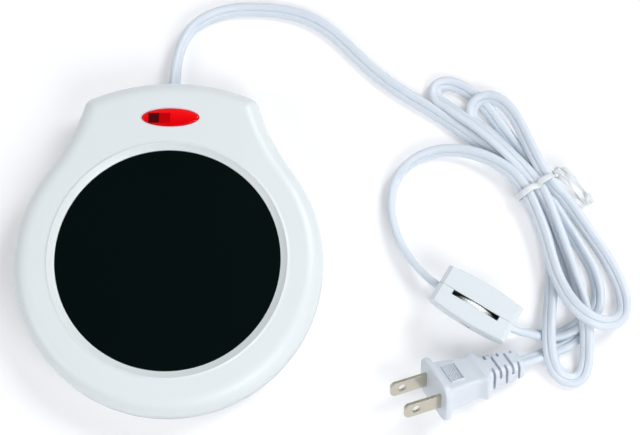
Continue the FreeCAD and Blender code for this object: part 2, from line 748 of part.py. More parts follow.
def leads():
    """Insulated leads between the cord's end, the crimps, the fuse, the heater and the lamp."""
    thick = size["lead_size"]
    start = size["cord_start"]
    low = size["cord_hole_z"]
    face = size["crimp_y"]
    end = face - size["crimp_length"]
    for name, side in (("live_lead", -1), ("neutral_lead", 1)):
        keep(lead(name + "_tube", [
            (side * 0.95, start, low), (side * 0.95, start - 2.0, low), (side * 2.6, start - 4.3, low - 0.2),
            (side * 6.8, start - 5.6, low - 0.4), (side * 13.0, start - 6.4, low),
            (side * size["crimp_x"], start - 8.2, low), (side * size["crimp_x"], face, low)], thick), name)
    crimps = [cylinder("crimp_%d" % (side + 1), "Sizes.crimp_radius", "Sizes.crimp_length",
                       x="%d * Sizes.crimp_x" % side, y="Sizes.crimp_y", z="Sizes.cord_hole_z",
                       axis=Vector(1, 0, 0), angle=90) for side in (-1, 1)]
    keep(fuse("crimps", crimps), "crimp_connectors")
    over = low + 1.5
    lamp_y = size["lens_y"]
    lamp_z = size["lamp_z"]
    right = lead("lamp_lead_right", [
        (3.9, lamp_y, lamp_z), (5.6, lamp_y, lamp_z), (8.6, 50.4, 14.8), (12.4, 50.2, 12.6),
        (15.4, 49.8, 10.4), (size["crimp_x"], 48.0, over), (size["crimp_x"], face, over)],
        size["lamp_lead_size"])
    left = lead("lamp_lead_left", [
        (-18.8, lamp_y, lamp_z), (-20.4, lamp_y, lamp_z), (-22.4, 50.4, 14.0), (-22.6, 50.2, 11.2),
        (-20.8, 49.8, 9.0), (-size["crimp_x"], 48.0, over), (-size["crimp_x"], face, over)],
        size["lamp_lead_size"])
    keep(fuse("lamp_lead_pair", [right, left]), "lamp_leads")
    back = size["disc_back"]
    fuse_z = size["fuse_z"]
    fuse_x = -size["sleeve_length"] / 2 - size["fuse_wire_past"]
    x = -size["crimp_x"]
    keep(lead("fuse_lead_tube", [
        (x, end, low), (x, end - 5, low), (x - 2, end - 14, low + 1), (x - 4, back + 10, low + 2.5),
        (x - 2, back + 2.5, fuse_z - 0.3), (fuse_x - 2.2, back, fuse_z), (fuse_x, back, fuse_z)], thick),
        "fuse_lead")
    x = size["crimp_x"]
    keep(lead("heater_lead_tube", [
        (x, end, low), (x, end - 5, low), (x + 2, end - 13, low + 1), (x + 3, back + 16, low + 2.5),
        (x + 3, back + 8, low + 4), (x + 2.5, back + 4, low + 6.4)], thick), "heater_lead")
    reach = "(Sizes.sleeve_length / 2 + Sizes.fuse_wire_past)"
    body = revolved("fuse_body", [
        ("0", "-" + reach), ("Sizes.fuse_wire", "-" + reach), ("Sizes.fuse_wire", "-Sizes.fuse_length / 2"),
        ("Sizes.fuse_radius", "-Sizes.fuse_length / 2"), ("Sizes.fuse_radius", "Sizes.fuse_length / 2"),
        ("Sizes.fuse_wire", "Sizes.fuse_length / 2"), ("Sizes.fuse_wire", reach), ("0", reach)])
    place(body, y="Sizes.disc_back", z="Sizes.fuse_z", axis=Vector(0, 1, 0), angle=90)
    keep(body, "thermal_fuse")
    inner = "Sizes.fuse_radius + 0.1"
    half = "Sizes.sleeve_length / 2"
    sleeve = revolved("sleeve_body", [
        (inner, "-" + half), ("Sizes.sleeve_radius", "-" + half), ("Sizes.sleeve_radius", half),
        (inner, half)])
    place(sleeve, y="Sizes.disc_back", z="Sizes.fuse_z", axis=Vector(0, 1, 0), angle=90)
    keep(sleeve, "fuse_sleeve")


# In-line switch, built about its own middle: x along it, y across its seam, z up


def set_on_switch(obj, name):
    """Bring a piece of the switch to where the switch stands."""
    if obj.TypeId == "PartDesign::Body" or not obj.Placement.isIdentity():
        obj = wrapped(name + "_set", obj)
    obj.Placement = Placement(Vector(0, 0, 0), Rotation(Vector(0, 0, 1), size["switch_turn"]))
    place(obj, "Sizes.switch_x", "Sizes.switch_y", "Sizes.switch_height / 2")
    return keep(obj, name)


def across(name, radius, low, high, x="0", z="0"):
    """A cylinder across the switch's seam, between two places along y."""
    return cylinder(name, radius, "(%s) - (%s)" % (high, low), x=x, y=high, z=z,
                    axis=Vector(1, 0, 0), angle=90)


def switch_shell(name, side):
    """One half of the switch's body, drafted and barrelled, with room for the works."""
    raw = wedge(name + "_raw", ("Sizes.switch_length", "Sizes.switch_height"),
                ("Sizes.switch_flat_length", "Sizes.switch_flat_height"), "Sizes.switch_half")
    barrel = cylinder(name + "_barrel", "Sizes.switch_barrel", "Sizes.switch_height * 2",
                      y="Sizes.switch_half - Sizes.switch_barrel", z="-Sizes.switch_height")
    half = common(name + "_half", [raw, barrel])
    reach = "Sizes.switch_length / 2"
    voids = [
        block(name + "_cavity", "Sizes.switch_cavity_length", "Sizes.switch_cavity_deep + 1",
              "Sizes.switch_cavity_height", x="-Sizes.switch_cavity_length / 2", y="-1",
              z="-Sizes.switch_cavity_height / 2"),
        block(name + "_slot", "Sizes.slot_length", "Sizes.slot_width / 2 + 1", "Sizes.switch_height * 2",
              x="-Sizes.slot_length / 2", y="-1", z="-Sizes.switch_height"),
        across(name + "_axle_way", "Sizes.axle_radius + Sizes.running_gap", "-1",
               "Sizes.switch_cavity_deep + 0.2"),
        across(name + "_screw_way", "Sizes.axle_bore + 0.1", "-1", "Sizes.switch_half + 1"),
        across(name + "_screw_sink", "Sizes.sink_radius", "Sizes.switch_half - Sizes.sink_deep",
               "Sizes.switch_half + 1"),
    ]
    for end in (-1, 1):
        x = reach + " - Sizes.cord_way_deep" if end > 0 else "-" + reach
        voids.append(cylinder("%s_cord_way_%d" % (name, end + 1), "Sizes.cord_size / 2 + Sizes.cord_way_gap",
                              "Sizes.cord_way_deep", x=x, axis=Vector(0, 1, 0), angle=90))
    shell = cut(name + "_shell", half, fuse(name + "_voids", voids))
    if side < 0:
        turned = wrapped(name + "_turned", shell)
        turned.Placement = Placement(Vector(0, 0, 0), Rotation(Vector(0, 0, 1), 180))
        shell = wrapped(name + "_both", turned)
    set_on_switch(shell, name)


def thumb_wheel():
    """The knurled wheel with its hub: a disc, one tooth gap, and the gap's pattern."""
    body = new_body("wheel_body")
    disc_sketch = new_sketch(body, "wheel_disc", "XY_Plane", "-Sizes.wheel_thick / 2")
    draw_circle(disc_sketch, "Sizes.wheel_radius")
    pad(body, disc_sketch, "Sizes.wheel_thick", "wheel_disc_pad")
    doc.recompute()
    gap_sketch = new_sketch(body, "tooth_gap", "XY_Plane", "Sizes.wheel_thick / 2")
    half = "Sizes.wheel_radius * 3.1416 / Sizes.wheel_teeth / 2"
    draw_outline(gap_sketch, [
        ("Sizes.wheel_radius - Sizes.tooth_cut", "0"),
        ("Sizes.wheel_radius + 0.2", "-(%s)" % half),
        ("Sizes.wheel_radius + 0.2", half)])
    gap = body.newObject("PartDesign::Pocket", "tooth_gap_cut")
    gap.Profile = gap_sketch
    gap.Type = "ThroughAll"
    doc.recompute()
    teeth = body.newObject("PartDesign::PolarPattern", "teeth")
    teeth.Originals = [gap]
    teeth.Axis = (gap_sketch, ["N_Axis"])
    teeth.Angle = 360.0
    teeth.Occurrences = int(size["wheel_teeth"])
    body.Tip = teeth
    doc.recompute()
    hub_sketch = new_sketch(body, "hub_ring", "XY_Plane", "-Sizes.hub_length / 2")
    draw_circle(hub_sketch, "Sizes.hub_radius")
    pad(body, hub_sketch, "Sizes.hub_length", "hub_pad")
    doc.recompute()
    bore_sketch = new_sketch(body, "hub_bore", "XY_Plane", "Sizes.hub_length / 2")
    draw_circle(bore_sketch, "Sizes.axle_radius + Sizes.running_gap")
    bore = body.newObject("PartDesign::Pocket", "hub_bore_cut")
    bore.Profile = bore_sketch
    bore.Type = "ThroughAll"
    body.Tip = bore
    body.Placement = Placement(Vector(0, 0, 0), Rotation(Vector(1, 0, 0), 90))
    doc.recompute()
    set_on_switch(body, "thumb_wheel")


def switch_works():
    deep = "(Sizes.switch_cavity_deep + 0.15)"
    sleeve = cut("axle_cut", across("axle_outer", "Sizes.axle_radius", "-" + deep, deep),
                 across("axle_inner", "Sizes.axle_bore", "-" + deep + " - 1", deep + " + 1"))
    set_on_switch(sleeve, "wheel_axle")
    edge = "Sizes.hub_length / 2"
    ring = cut("contact_cut", across("contact_outer", "Sizes.contact_radius", edge,
                                     edge + " + Sizes.contact_thick"),
               across("contact_inner", "Sizes.axle_radius + Sizes.running_gap", edge + " - 1",
                      edge + " + Sizes.contact_thick + 1"))
    wide = "Sizes.contact_radius * 3"
    flats = [block("contact_flat_%d" % (side + 1), wide, wide, wide, x="-Sizes.contact_radius * 1.5",
                   z="Sizes.contact_flat" if side > 0 else "-Sizes.contact_flat - " + wide)
             for side in (-1, 1)]
    set_on_switch(cut("contact_bridge", ring, fuse("contact_flats", flats)), "wheel_contact")
    pieces = []
    for side in (-1, 1):
        x = "%d * (Sizes.contact_radius + Sizes.terminal_gap)" % side
        low_x = x if side > 0 else x + " - Sizes.terminal_thick"
        pieces.append(block("terminal_blade_%d" % (side + 1), "Sizes.terminal_thick", "Sizes.terminal_width",
                            "Sizes.terminal_height", x=low_x, y=edge + " - 0.4",
                            z="-Sizes.terminal_height / 2"))
        foot_x = x if side > 0 else x + " - Sizes.terminal_foot"
        pieces.append(block("terminal_foot_%d" % (side + 1), "Sizes.terminal_foot", "Sizes.terminal_width",
                            "Sizes.terminal_foot_thick", x=foot_x, y=edge + " - 0.4",
                            z="-Sizes.terminal_height / 2 - Sizes.terminal_foot_thick + 0.1"))
    set_on_switch(fuse("terminals", pieces), "switch_terminals")
    screw = fuse("switch_screw_fuse", [
        across("switch_screw_head", "Sizes.switch_head_radius", "-Sizes.switch_half + 0.1",
               "-Sizes.switch_half + Sizes.sink_deep - 0.05"),
        across("switch_screw_shank", "Sizes.axle_bore - 0.1", "-Sizes.switch_half + 1",
               "Sizes.switch_half - 0.2")])
    set_on_switch(screw, "switch_screw")
    nut = doc.addObject("Part::Prism", "switch_nut_six")
    nut.Polygon = 6
    bind(nut, Circumradius="Sizes.switch_nut_radius", Height="Sizes.switch_nut_height")
    place(nut, "0", "Sizes.switch_half - 0.15", "0", Vector(1, 0, 0), 90)
    set_on_switch(cut("switch_nut_cut", nut, across("switch_nut_bore", "Sizes.axle_bore - 0.05",
                                                    "Sizes.switch_half - 3", "Sizes.switch_half + 1")),
                  "switch_nut")


def switch_wiring():
    """One conductor runs straight past the wheel, low in the far half; the other meets the terminals."""
    thick = size["switch_lead_size"]
    start = size["switch_length"] / 2 - size["cord_in_switch"]
    side = size["switch_cavity_deep"] - 1.6
    low = size["switch_cavity_height"] / 2 - 1.6
    half = [(start, -0.95, 0.0), (start - 1.8, -0.95, 0.0), (start - 4.0, -2.6, -0.8),
            (start - 6.4, 0.6 - side, low * -0.5), (start - 9.0, -side, low * -0.88)]
    bypass = lead("bypass_tube", half + [(-1.5, 0.2 - side, -low)] + [(-x, y, z) for x, y, z in half[::-1]],
                  thick)
    set_on_switch(bypass, "bypass_lead")
    foot_x = size["contact_radius"] + size["terminal_gap"] + 2.3
    foot_y = size["hub_length"] / 2 + 0.6
    foot_z = 0.1 - size["terminal_height"] / 2
    pair = [lead("terminal_lead_%d" % (end + 1), [
        (end * start, 0.95, 0.0), (end * (start - 1.7), 0.95, 0.0), (end * (start - 3.1), 2.3, -0.8),
        (end * foot_x, foot_y, -2.6), (end * foot_x, foot_y, foot_z)], thick) for end in (-1, 1)]
    set_on_switch(fuse("terminal_lead_pair", pair), "switch_leads")


def switch():
    switch_shell("switch_shell_far", 1)
    switch_shell("switch_shell_near", -1)
    thumb_wheel()
    switch_works()
    switch_wiring()


# Plug, built with its blades along +X and its front face at x = 0


def plug_frame():
    """Where the plug lies: turned, then pitched with its blades up, then rolled about its length."""
    turn = Rotation(Vector(0, 0, 1), size["plug_turn"])
    pitch = Rotation(Vector(0, 1, 0), -size["plug_pitch"])
    roll = Rotation(Vector(1, 0, 0), size["plug_roll"])
    return Placement(Vector(size["plug_x"], size["plug_y"], size["plug_z"]), turn * pitch * roll)


def centred(name, length, width, height, x):
    return block(name, length, width, height, x=x, y="-(%s) / 2" % width, z="-(%s) / 2" % height)


def tapered(name, near, far, length, x):
    """A tapered block whose near end is at x and whose far end lies length behind it."""
    obj = wedge(name, near, far, length)
    obj.Placement = Placement(Vector(0, 0, 0), Rotation(Vector(0, 0, 1), 90))
    return place(obj, x=x)


def plug():
    waist_x = "-Sizes.flange_thick"
    shoulder_x = "-Sizes.flange_thick - Sizes.waist_length - Sizes.shoulder_thick"
    flange = centred("plug_flange_block", "Sizes.flange_thick", "Sizes.flange_width",
                     "Sizes.flange_height", "-Sizes.flange_thick")
    doc.recompute()
    rounded = doc.addObject("Part::Fillet", "plug_flange")
    rounded.Base = flange
    rounded.Edges = [(index, size["flange_round"], size["flange_round"])
                     for index, edge in enumerate(flange.Shape.Edges, start=1)
                     if edge.BoundBox.XLength > size["flange_thick"] - 0.01]
    solids = [
        rounded,
        tapered("plug_waist", ("Sizes.waist_width", "Sizes.waist_height"),
                ("Sizes.waist_width - Sizes.waist_narrowing", "Sizes.waist_height - Sizes.waist_thinning"),
                "Sizes.waist_length + 1", waist_x + " + 0.5"),
        tapered("plug_shoulder", ("Sizes.shoulder_width", "Sizes.shoulder_height"),
                ("Sizes.relief_width + 2", "Sizes.relief_height + 1.6"), "Sizes.shoulder_thick",
                "-Sizes.flange_thick - Sizes.waist_length"),
        tapered("plug_relief", ("Sizes.relief_width", "Sizes.relief_height"),
                ("Sizes.relief_end_width", "Sizes.relief_end_height"), "Sizes.relief_length",
                shoulder_x),
        block("plug_grip", "Sizes.grip_length", "Sizes.grip_width", "Sizes.grip_thick",
              x="-Sizes.grip_back", y="-Sizes.grip_width / 2", z="Sizes.waist_height / 2 - 0.6"),
    ]
    gaps = []
    clear = "Sizes.shoulder_width"
    for i in range(4):
        x = shoulder_x + " - Sizes.rib_first - %d * Sizes.rib_pitch" % i
        inner = "(Sizes.relief_end_width / 2 - Sizes.rib_deep)"
        for side in (-1, 1):
            y = inner if side > 0 else "-%s - %s" % (inner, clear)
            gaps.append(block("rib_gap_side_%d_%d" % (i, side + 1), "Sizes.rib_gap", clear,
                              "2 * " + clear, x=x, y=y, z="-" + clear))
    for i in range(3):
        x = shoulder_x + " - Sizes.rib_first - %.1f * Sizes.rib_pitch" % (i + 0.5)
        inner = "(Sizes.relief_end_height / 2 - Sizes.rib_face_deep)"
        for side in (-1, 1):
            z = inner if side > 0 else "-%s - %s" % (inner, clear)
            gaps.append(block("rib_gap_face_%d_%d" % (i, side + 1), "Sizes.rib_gap * 0.8",
                              "Sizes.rib_face_width", clear, x=x, y="-Sizes.rib_face_width / 2", z=z))
    moulding = cut("plug_moulding", fuse("plug_solids", solids), fuse("plug_gaps", gaps))
    sockets = []
    blades = []
    for side in (-1, 1):
        y = "%d * Sizes.blade_spacing / 2 - Sizes.blade_thick / 2" % side
        blade = block("blade_%d" % (side + 1), "Sizes.blade_reach + Sizes.blade_root", "Sizes.blade_thick",
                      "Sizes.blade_width", x="-Sizes.blade_root", y=y, z="-Sizes.blade_width / 2")
        hole = across("blade_hole_%d" % (side + 1), "Sizes.blade_hole", "-20", "20",
                      x="Sizes.blade_hole_reach")
        blades.append(cut("blade_cut_%d" % (side + 1), blade, hole))
        sockets.append(block("blade_socket_%d" % (side + 1), "Sizes.blade_root + 1", "Sizes.blade_thick",
                             "Sizes.blade_width", x="-Sizes.blade_root", y=y, z="-Sizes.blade_width / 2"))
    doc.recompute()
    tips = []
    for i, blade in enumerate(blades):
        tip = doc.addObject("Part::Chamfer", "blade_tip_%d" % i)
        tip.Base = blade
        tip.Edges = [(index, size["blade_tip"], size["blade_tip"])
                     for index, edge in enumerate(blade.Shape.Edges, start=1)
                     if abs(edge.BoundBox.XMin - size["blade_reach"]) < 0.01 and edge.BoundBox.ZLength < 0.01]
        tips.append(tip)
    body = cut("plug_body_cut", moulding, fuse("blade_sockets", sockets))
    body.Placement = plug_frame()
    keep(body, "plug_body")
    pair = fuse("blades", tips)
    pair.Placement = plug_frame()
    keep(pair, "plug_blades")


# Cords: route points in millimetres, each free stretch from end to end

WARMER_STRETCH = [
    (0.0, 55.5, 6.5), (0.0, 66.0, 6.5), (0.9, 76.4, 5.9), (3.0, 86.4, 4.0), (8.6, 94.9, 2.4),
    (17.6, 100.0, 1.85), (28.5, 102.2, 1.85), (40.0, 101.9, 1.85), (51.0, 99.2, 1.85),
    (60.8, 94.0, 1.85), (69.8, 86.2, 1.85), (79.2, 76.8, 1.85), (91.0, 67.6, 1.85),
    (102.6, 58.8, 1.85), (112.2, 51.0, 1.85), (120.4, 45.6, 1.85), (126.8, 40.6, 1.85), (131.6, 35.8, 2.0),
]
WARMER_SWITCH_STRETCH = [
    (157.4, 7.6, 1.9), (161.6, 1.2, 1.85), (165.4, -6.2, 1.85), (167.6, -12.6, 1.85), (168.4, -18.4, 2.3),
    (166.4, -23.4, 4.9), (162.0, -26.8, 6.5), (156.6, -29.4, 4.6), (150.4, -31.4, 2.6),
    (144.6, -32.4, 4.8),
]
PLUG_START_STRETCH = [
    (98.2, -4.6, 8.0), (92.8, 1.6, 4.0), (88.8, 9.6, 2.0), (87.6, 18.6, 1.85), (90.0, 28.4, 1.85),
    (96.0, 37.0, 2.0), (104.6, 41.8, 3.2), (114.4, 42.2, 5.0), (123.6, 39.6, 6.2),
    (131.8, 34.4, 6.4),
]
PLUG_END_STRETCH = [
    (149.0, 18.2, 1.9), (151.4, 11.4, 1.85), (154.0, 4.2, 1.85), (156.7, -3.2, 1.85), (159.2, -10.9, 1.85),
    (161.4, -18.6, 1.85), (162.4, -25.8, 1.85), (160.4, -31.8, 1.85), (155.4, -35.8, 1.85),
    (149.6, -38.2, 2.2),
]
TIE_TAIL = [
    (155.5, 32.4, 7.4), (160.6, 29.8, 6.6), (164.4, 24.8, 5.2), (165.8, 19.6, 4.0), (163.6, 18.0, 3.6),
    (161.8, 22.4, 4.6), (158.2, 27.0, 6.0), (154.0, 29.8, 6.8),
]


def tie_point(across_by, along_by, height):
    """A place in the twist tie: across the strands, along them (down the picture), and up."""
    turn = math.radians(size["tie_turn"])
    along = Vector(math.cos(turn), math.sin(turn), 0)
    sideways = Vector(-math.sin(turn), math.cos(turn), 0)
    base = Vector(size["tie_x"], size["tie_y"], 0)
    spot = base + sideways * across_by + along * along_by
    return Vector(spot.x, spot.y, height)


def hank_loop(turn_share, reach, belly, sway, start, end, heights, way):
    """A point on one loop of the hank.

    turn_share runs from 0 to 1 about the loop. The loop leaves the tie at slot start, swells by
    belly, sways sideways toward its far end, and comes back at slot end. way is 1 below the tie and
    -1 above it. heights are the cord's heights at even steps of the turn.
    """
    turn = 2 * math.pi * turn_share
    along = size["tie_pass"] / 2 + (reach - size["tie_pass"] / 2) * (1 - math.cos(turn)) / 2
    side = 1 if start[0] > end[0] else -1
    slots = (start[0] * (1 + math.cos(turn / 2)) + end[0] * (1 - math.cos(turn / 2))) / 2
    swell = side * belly * math.sin(turn) * math.sin(turn / 2) ** 2
    bend = sway * (along / reach) ** 2
    step = turn_share * (len(heights) - 1)
    index = min(int(step), len(heights) - 2)
    part = step - index
    blend = part * part * (3 - 2 * part)
    height = heights[index] * (1 - blend) + heights[index + 1] * blend
    return tie_point(slots + swell + bend, way * along, height)


def biarc(first, out, last, into):
    """Two arcs from first to last, tangent to out and into."""
    chord = last - first
    both = out + into
    square = 2 * (1 - out.dot(into))
    if square < 1e-9:
        reach = chord.dot(chord) / (4 * chord.dot(into))
    else:
        inner = chord.dot(both)
        reach = (-inner + math.sqrt(inner * inner + square * chord.dot(chord))) / square
    meet = (first + out * reach + last - into * reach) * 0.5
    edges = []
    for a, b, tangent in ((first, meet, out), (meet, last, None)):
        if tangent is None:
            tangent = last - into * reach - meet
            tangent.normalize()
        span = b - a
        angle = tangent.getAngle(span)
        if angle < 1e-4:
            edges.append(Part.LineSegment(a, b).toShape())
            continue
        normal = tangent.cross(span).normalize()
        toward = normal.cross(tangent).normalize()
        radius = span.Length / (2 * math.sin(angle))
        centre = a + toward * radius
        bulge = ((a + b) * 0.5 - centre).normalize()
        edges.append(Part.Arc(a, centre + bulge * radius, b).toShape())
    return edges


def hank_edges(loops, stations):
    """The unbroken centre line of a hank: a straight pass at the tie, then each loop in turn."""
    edges = []
    first = loops[0]
    way = first["way"]
    start = first["start"]
    here = tie_point(start[0], -way * size["tie_pass"] / 2, start[1])
    for loop in loops:
        way = loop["way"]
        heading = tie_point(0, way, 0) - tie_point(0, 0, 0)

        def spot(share, loop=loop):
            return hank_loop(share, **loop)

        points = [spot(i / stations) for i in range(stations + 1)]
        tangents = [heading]
        for i in range(1, stations):
            tangents.append((spot((i + 0.02) / stations) - spot((i - 0.02) / stations)).normalize())
        tangents.append(heading * -1)
        edges.append(Part.LineSegment(here, points[0]).toShape())
        for i in range(stations):
            edges += biarc(points[i], tangents[i], points[i + 1], tangents[i + 1])
        here = points[-1]
    last = tie_point(loops[-1]["end"][0], -loops[-1]["way"] * size["tie_pass"] / 2, loops[-1]["end"][1])
    edges.append(Part.LineSegment(here, last).toShape())
    return edges


SLOT = size["tie_slot"]
LOW = size["tie_low"]
HIGH = size["tie_high"]
STATIONS = 12

WARMER_LOOPS = [
    dict(reach=76.0, belly=10.0, sway=-26.5, start=(-SLOT, LOW), end=(0.0, HIGH), way=1,
         heights=[LOW, 2.1, 1.85, 2.5, 7.9, 4.6, 1.85, 5.0, 10.2, 9.4, 6.6, 6.4, HIGH]),
    dict(reach=55.5, belly=9.3, sway=-11.4, start=(0.0, HIGH), end=(SLOT, LOW), way=-1,
         heights=[HIGH, 6.3, 6.15, 6.1, 5.9, 3.0, 1.85, 1.85, 1.85, 1.85, 1.85, 2.1, LOW]),
]
PLUG_LOOPS = [
    dict(reach=63.5, belly=13.5, sway=1.0, start=(-SLOT, HIGH), end=(SLOT, HIGH), way=1,
         heights=[HIGH, 6.4, 6.2, 7.6, 13.8, 14.6, 9.8, 5.2, 2.4, 2.0, 4.9, 6.45, HIGH]),
    dict(reach=43.0, belly=7.6, sway=-2.6, start=(SLOT, HIGH), end=(0.0, LOW), way=-1,
         heights=[HIGH, 6.3, 6.1, 6.0, 6.0, 6.1, 6.1, 3.4, 1.85, 1.85, 1.85, 2.1, LOW]),
]


def samples(edges, step=1.0):
    """Points along the edges, evenly spaced."""
    wire = Part.Wire(edges)
    return wire.discretize(Distance=step)


def least_gap(one, other, diameter, skip=0):
    """The least surface gap between two lines of points, or of one to itself past skip points."""
    best = (1e9, None, None)
    for i, a in enumerate(one):
        start = i + skip if skip else 0
        for b in other[start:]:
            span = (a - b).Length
            if span < best[0]:
                best = (span, a, b)
    return best[0] - diameter, best[1], best[2]


def tie(diameter):
    """The twist tie: a flat band about the strands, its knot, and its tail folded back."""
    side = "(Sizes.tie_slot + Sizes.cord_size / 2 + Sizes.tie_room)"
    low = "(Sizes.tie_low - Sizes.cord_size / 2 - 0.1)"
    high = "(Sizes.tie_high + Sizes.cord_size / 2 + Sizes.tie_room)"
    thick = "Sizes.tie_thick"
    outer = block("tie_outer", "2 * (%s + %s)" % (side, thick), "Sizes.tie_wide",
                  "%s - %s + 2 * %s" % (high, low, thick), x="-%s - %s" % (side, thick),
                  y="-Sizes.tie_wide / 2", z="%s - %s" % (low, thick))
    inner = block("tie_inner", "2 * " + side, "Sizes.tie_wide * 2", "%s - %s" % (high, low),
                  x="-" + side, y="-Sizes.tie_wide", z=low)
    band = wrapped("tie_band", cut("tie_ring", outer, inner))
    band.Placement = Placement(Vector(0, 0, 0), Rotation(Vector(0, 0, 1), size["tie_turn"] + 90))
    place(band, "Sizes.tie_x", "Sizes.tie_y", "0")
    knot_at = tie_point(size["tie_slot"] + diameter / 2 + 0.4, 0.0, 7.2)
    tail = lead("tie_tail", [tuple(knot_at)] + TIE_TAIL, size["tie_tail_size"])
    knot = doc.addObject("Part::Sphere", "tie_knot")
    bind(knot, Radius="Sizes.tie_knot")
    place(knot, "%.3f" % (knot_at.x + 0.8), "%.3f" % (knot_at.y + 0.5), "%.3f" % knot_at.z)
    keep(fuse("tie_whole", [band, knot, tail]), "cord_tie")


def cords():
    diameter = size["cord_size"]
    hanks = {}
    for name, loops in (("warmer_cord_loops", WARMER_LOOPS), ("plug_cord_loops", PLUG_LOOPS)):
        edges = hank_edges(loops, STATIONS)
        shape, length = swept(edges, diameter)
        want = math.pi * diameter ** 2 / 4 * length
        line = samples(edges)
        gap = least_gap(line, line, diameter, int(3 * diameter))
        print("%s: length %.1f, volume over section times length %.4f, least gap to itself %.2f"
              % (name, length, shape.Volume / want, gap[0]))
        keep(shaped(name + "_tube", shape), name)
        hanks[name] = line
    half = size["tie_pass"] / 2

    def tie_end(slot, height, way):
        """The last short run of a stretch that meets its hank square at the tie."""
        return [tie_point(slot, way * (half + 3.5), height), tie_point(slot, way * half, height)]

    turn = Rotation(Vector(0, 0, 1), size["switch_turn"])
    middle = Vector(size["switch_x"], size["switch_y"], size["switch_height"] / 2)
    reach = size["switch_length"] / 2
    inside = reach - size["cord_in_switch"]
    left_in = middle + turn.multVec(Vector(-inside, 0, 0))
    left_out = middle + turn.multVec(Vector(-reach - 3.5, 0, 0))
    right_in = middle + turn.multVec(Vector(inside, 0, 0))
    right_out = middle + turn.multVec(Vector(reach + 3.0, 0, 0))
    frame = plug_frame()
    tail_x = -(size["flange_thick"] + size["waist_length"] + size["shoulder_thick"] + size["relief_length"])
    tail = frame.multVec(Vector(tail_x, 0, 0))
    tail_out = frame.multVec(Vector(tail_x - 6.0, 0, 0))
    stretches = {
        "warmer_cord_stretch": [Vector(*p) for p in WARMER_STRETCH] + tie_end(-SLOT, LOW, -1),
        "warmer_cord_switch_stretch": tie_end(SLOT, LOW, 1)[::-1] + [tie_point(SLOT - 1.5, half + 10, 1.95)]
        + [Vector(*p) for p in WARMER_SWITCH_STRETCH] + [right_out, right_in],
        "plug_cord_switch_stretch": [left_in, left_out] + [Vector(*p) for p in PLUG_START_STRETCH]
        + tie_end(-SLOT, HIGH, -1),
        "plug_cord_stretch": tie_end(0.0, LOW, 1)[::-1] + [Vector(*p) for p in PLUG_END_STRETCH]
        + [tail_out, tail],
    }
    lines = dict(hanks)
    for name, points in stretches.items():
        tube(name, [tuple(p) for p in points], diameter)
        lines[name] = samples(bent_path([tuple(p) for p in points])[0])
        print("   lowest %.2f" % (min(p.z for p in lines[name]) - diameter / 2))
    tie(diameter)
    names = sorted(lines)
    for i, one in enumerate(names):
        for other in names[i + 1:]:
            gap, a, b = least_gap(lines[one], lines[other], diameter)
            if gap < 1.0:
                print("   gap %s to %s: %.2f near (%.1f, %.1f, %.1f)" % (one, other, gap, a.x, a.y, a.z))


cords()
upper_housing()
bottom_cover()
warming_plate()
heater()
fasteners_and_feet()
indicator()
leads()
switch()
plug()
doc.recompute()

# Every object is sound before anything is written

faults = [obj.Name for obj in doc.Objects if "Invalid" in obj.State or "Error" in obj.State]
for name, obj in KEPT:
    if obj.Shape.isNull() or not obj.Shape.isValid():
        faults.append(name)
if faults:
    raise RuntimeError("not sound: " + ", ".join(faults))

os.makedirs("parts", exist_ok=True)
for name, obj in KEPT:
    obj.Shape.exportStep("parts/%s.step" % name)
    box = obj.Shape.BoundBox
    print("%s: %d solids, volume %.1f, z %.2f to %.2f" % (name, len(obj.Shape.Solids), obj.Shape.Volume,
                                                      box.ZMin, box.ZMax))
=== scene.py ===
import math
import bmesh
import bpy
from mathutils import Matrix, Vector


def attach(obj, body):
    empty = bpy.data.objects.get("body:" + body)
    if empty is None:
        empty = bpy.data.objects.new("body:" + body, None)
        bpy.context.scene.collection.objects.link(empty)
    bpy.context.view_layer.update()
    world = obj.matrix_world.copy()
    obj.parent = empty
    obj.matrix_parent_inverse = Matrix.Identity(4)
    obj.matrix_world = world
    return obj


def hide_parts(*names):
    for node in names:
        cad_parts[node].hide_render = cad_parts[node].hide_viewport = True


# Electric mug warmer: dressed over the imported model, in metres, with sizes written in millimetres
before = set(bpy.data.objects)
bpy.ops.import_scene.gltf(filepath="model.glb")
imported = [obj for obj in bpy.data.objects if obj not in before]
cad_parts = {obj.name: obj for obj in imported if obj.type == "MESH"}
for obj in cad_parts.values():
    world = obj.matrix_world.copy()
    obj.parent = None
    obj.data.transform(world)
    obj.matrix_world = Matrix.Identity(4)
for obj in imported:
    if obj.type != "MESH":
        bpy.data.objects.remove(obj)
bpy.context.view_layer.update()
MM = 0.001


def srgb(text):
    """A hex colour as the linear colour that a shader works in."""
    parts = [int(text[i:i + 2], 16) / 255 for i in (1, 3, 5)]
    return [c / 12.92 if c <= 0.04045 else ((c + 0.055) / 1.055) ** 2.4 for c in parts] + [1.0]


def add(tree, kind, settings=None, links=None):
    """Add one node with its settings and its links: a key is a socket's name or a property's."""
    node = tree.nodes.new(kind)
    for key, value in (settings or {}).items():
        if isinstance(key, int) or key in node.inputs:
            node.inputs[key].default_value = value
        else:
            setattr(node, key, value)
    for key, source in (links or {}).items():
        tree.links.new(source, node.inputs[key])
    return node


def material(name):
    """A new material with an empty tree and its output."""
    mat = bpy.data.materials.new(name)
    mat.use_nodes = True
    mat.node_tree.nodes.clear()
    return mat, mat.node_tree


# Sockets of a colour mix by number, because its sockets for plain numbers have the same names
FIRST_COLOUR, SECOND_COLOUR, MIXED_COLOUR = 6, 7, 2
CLOUD_MM = 26
# Strokes in metal run along x: this many times the stroke's width, and squeezed this much across
STROKE_LENGTH, STROKE_SQUEEZE = 10, 12


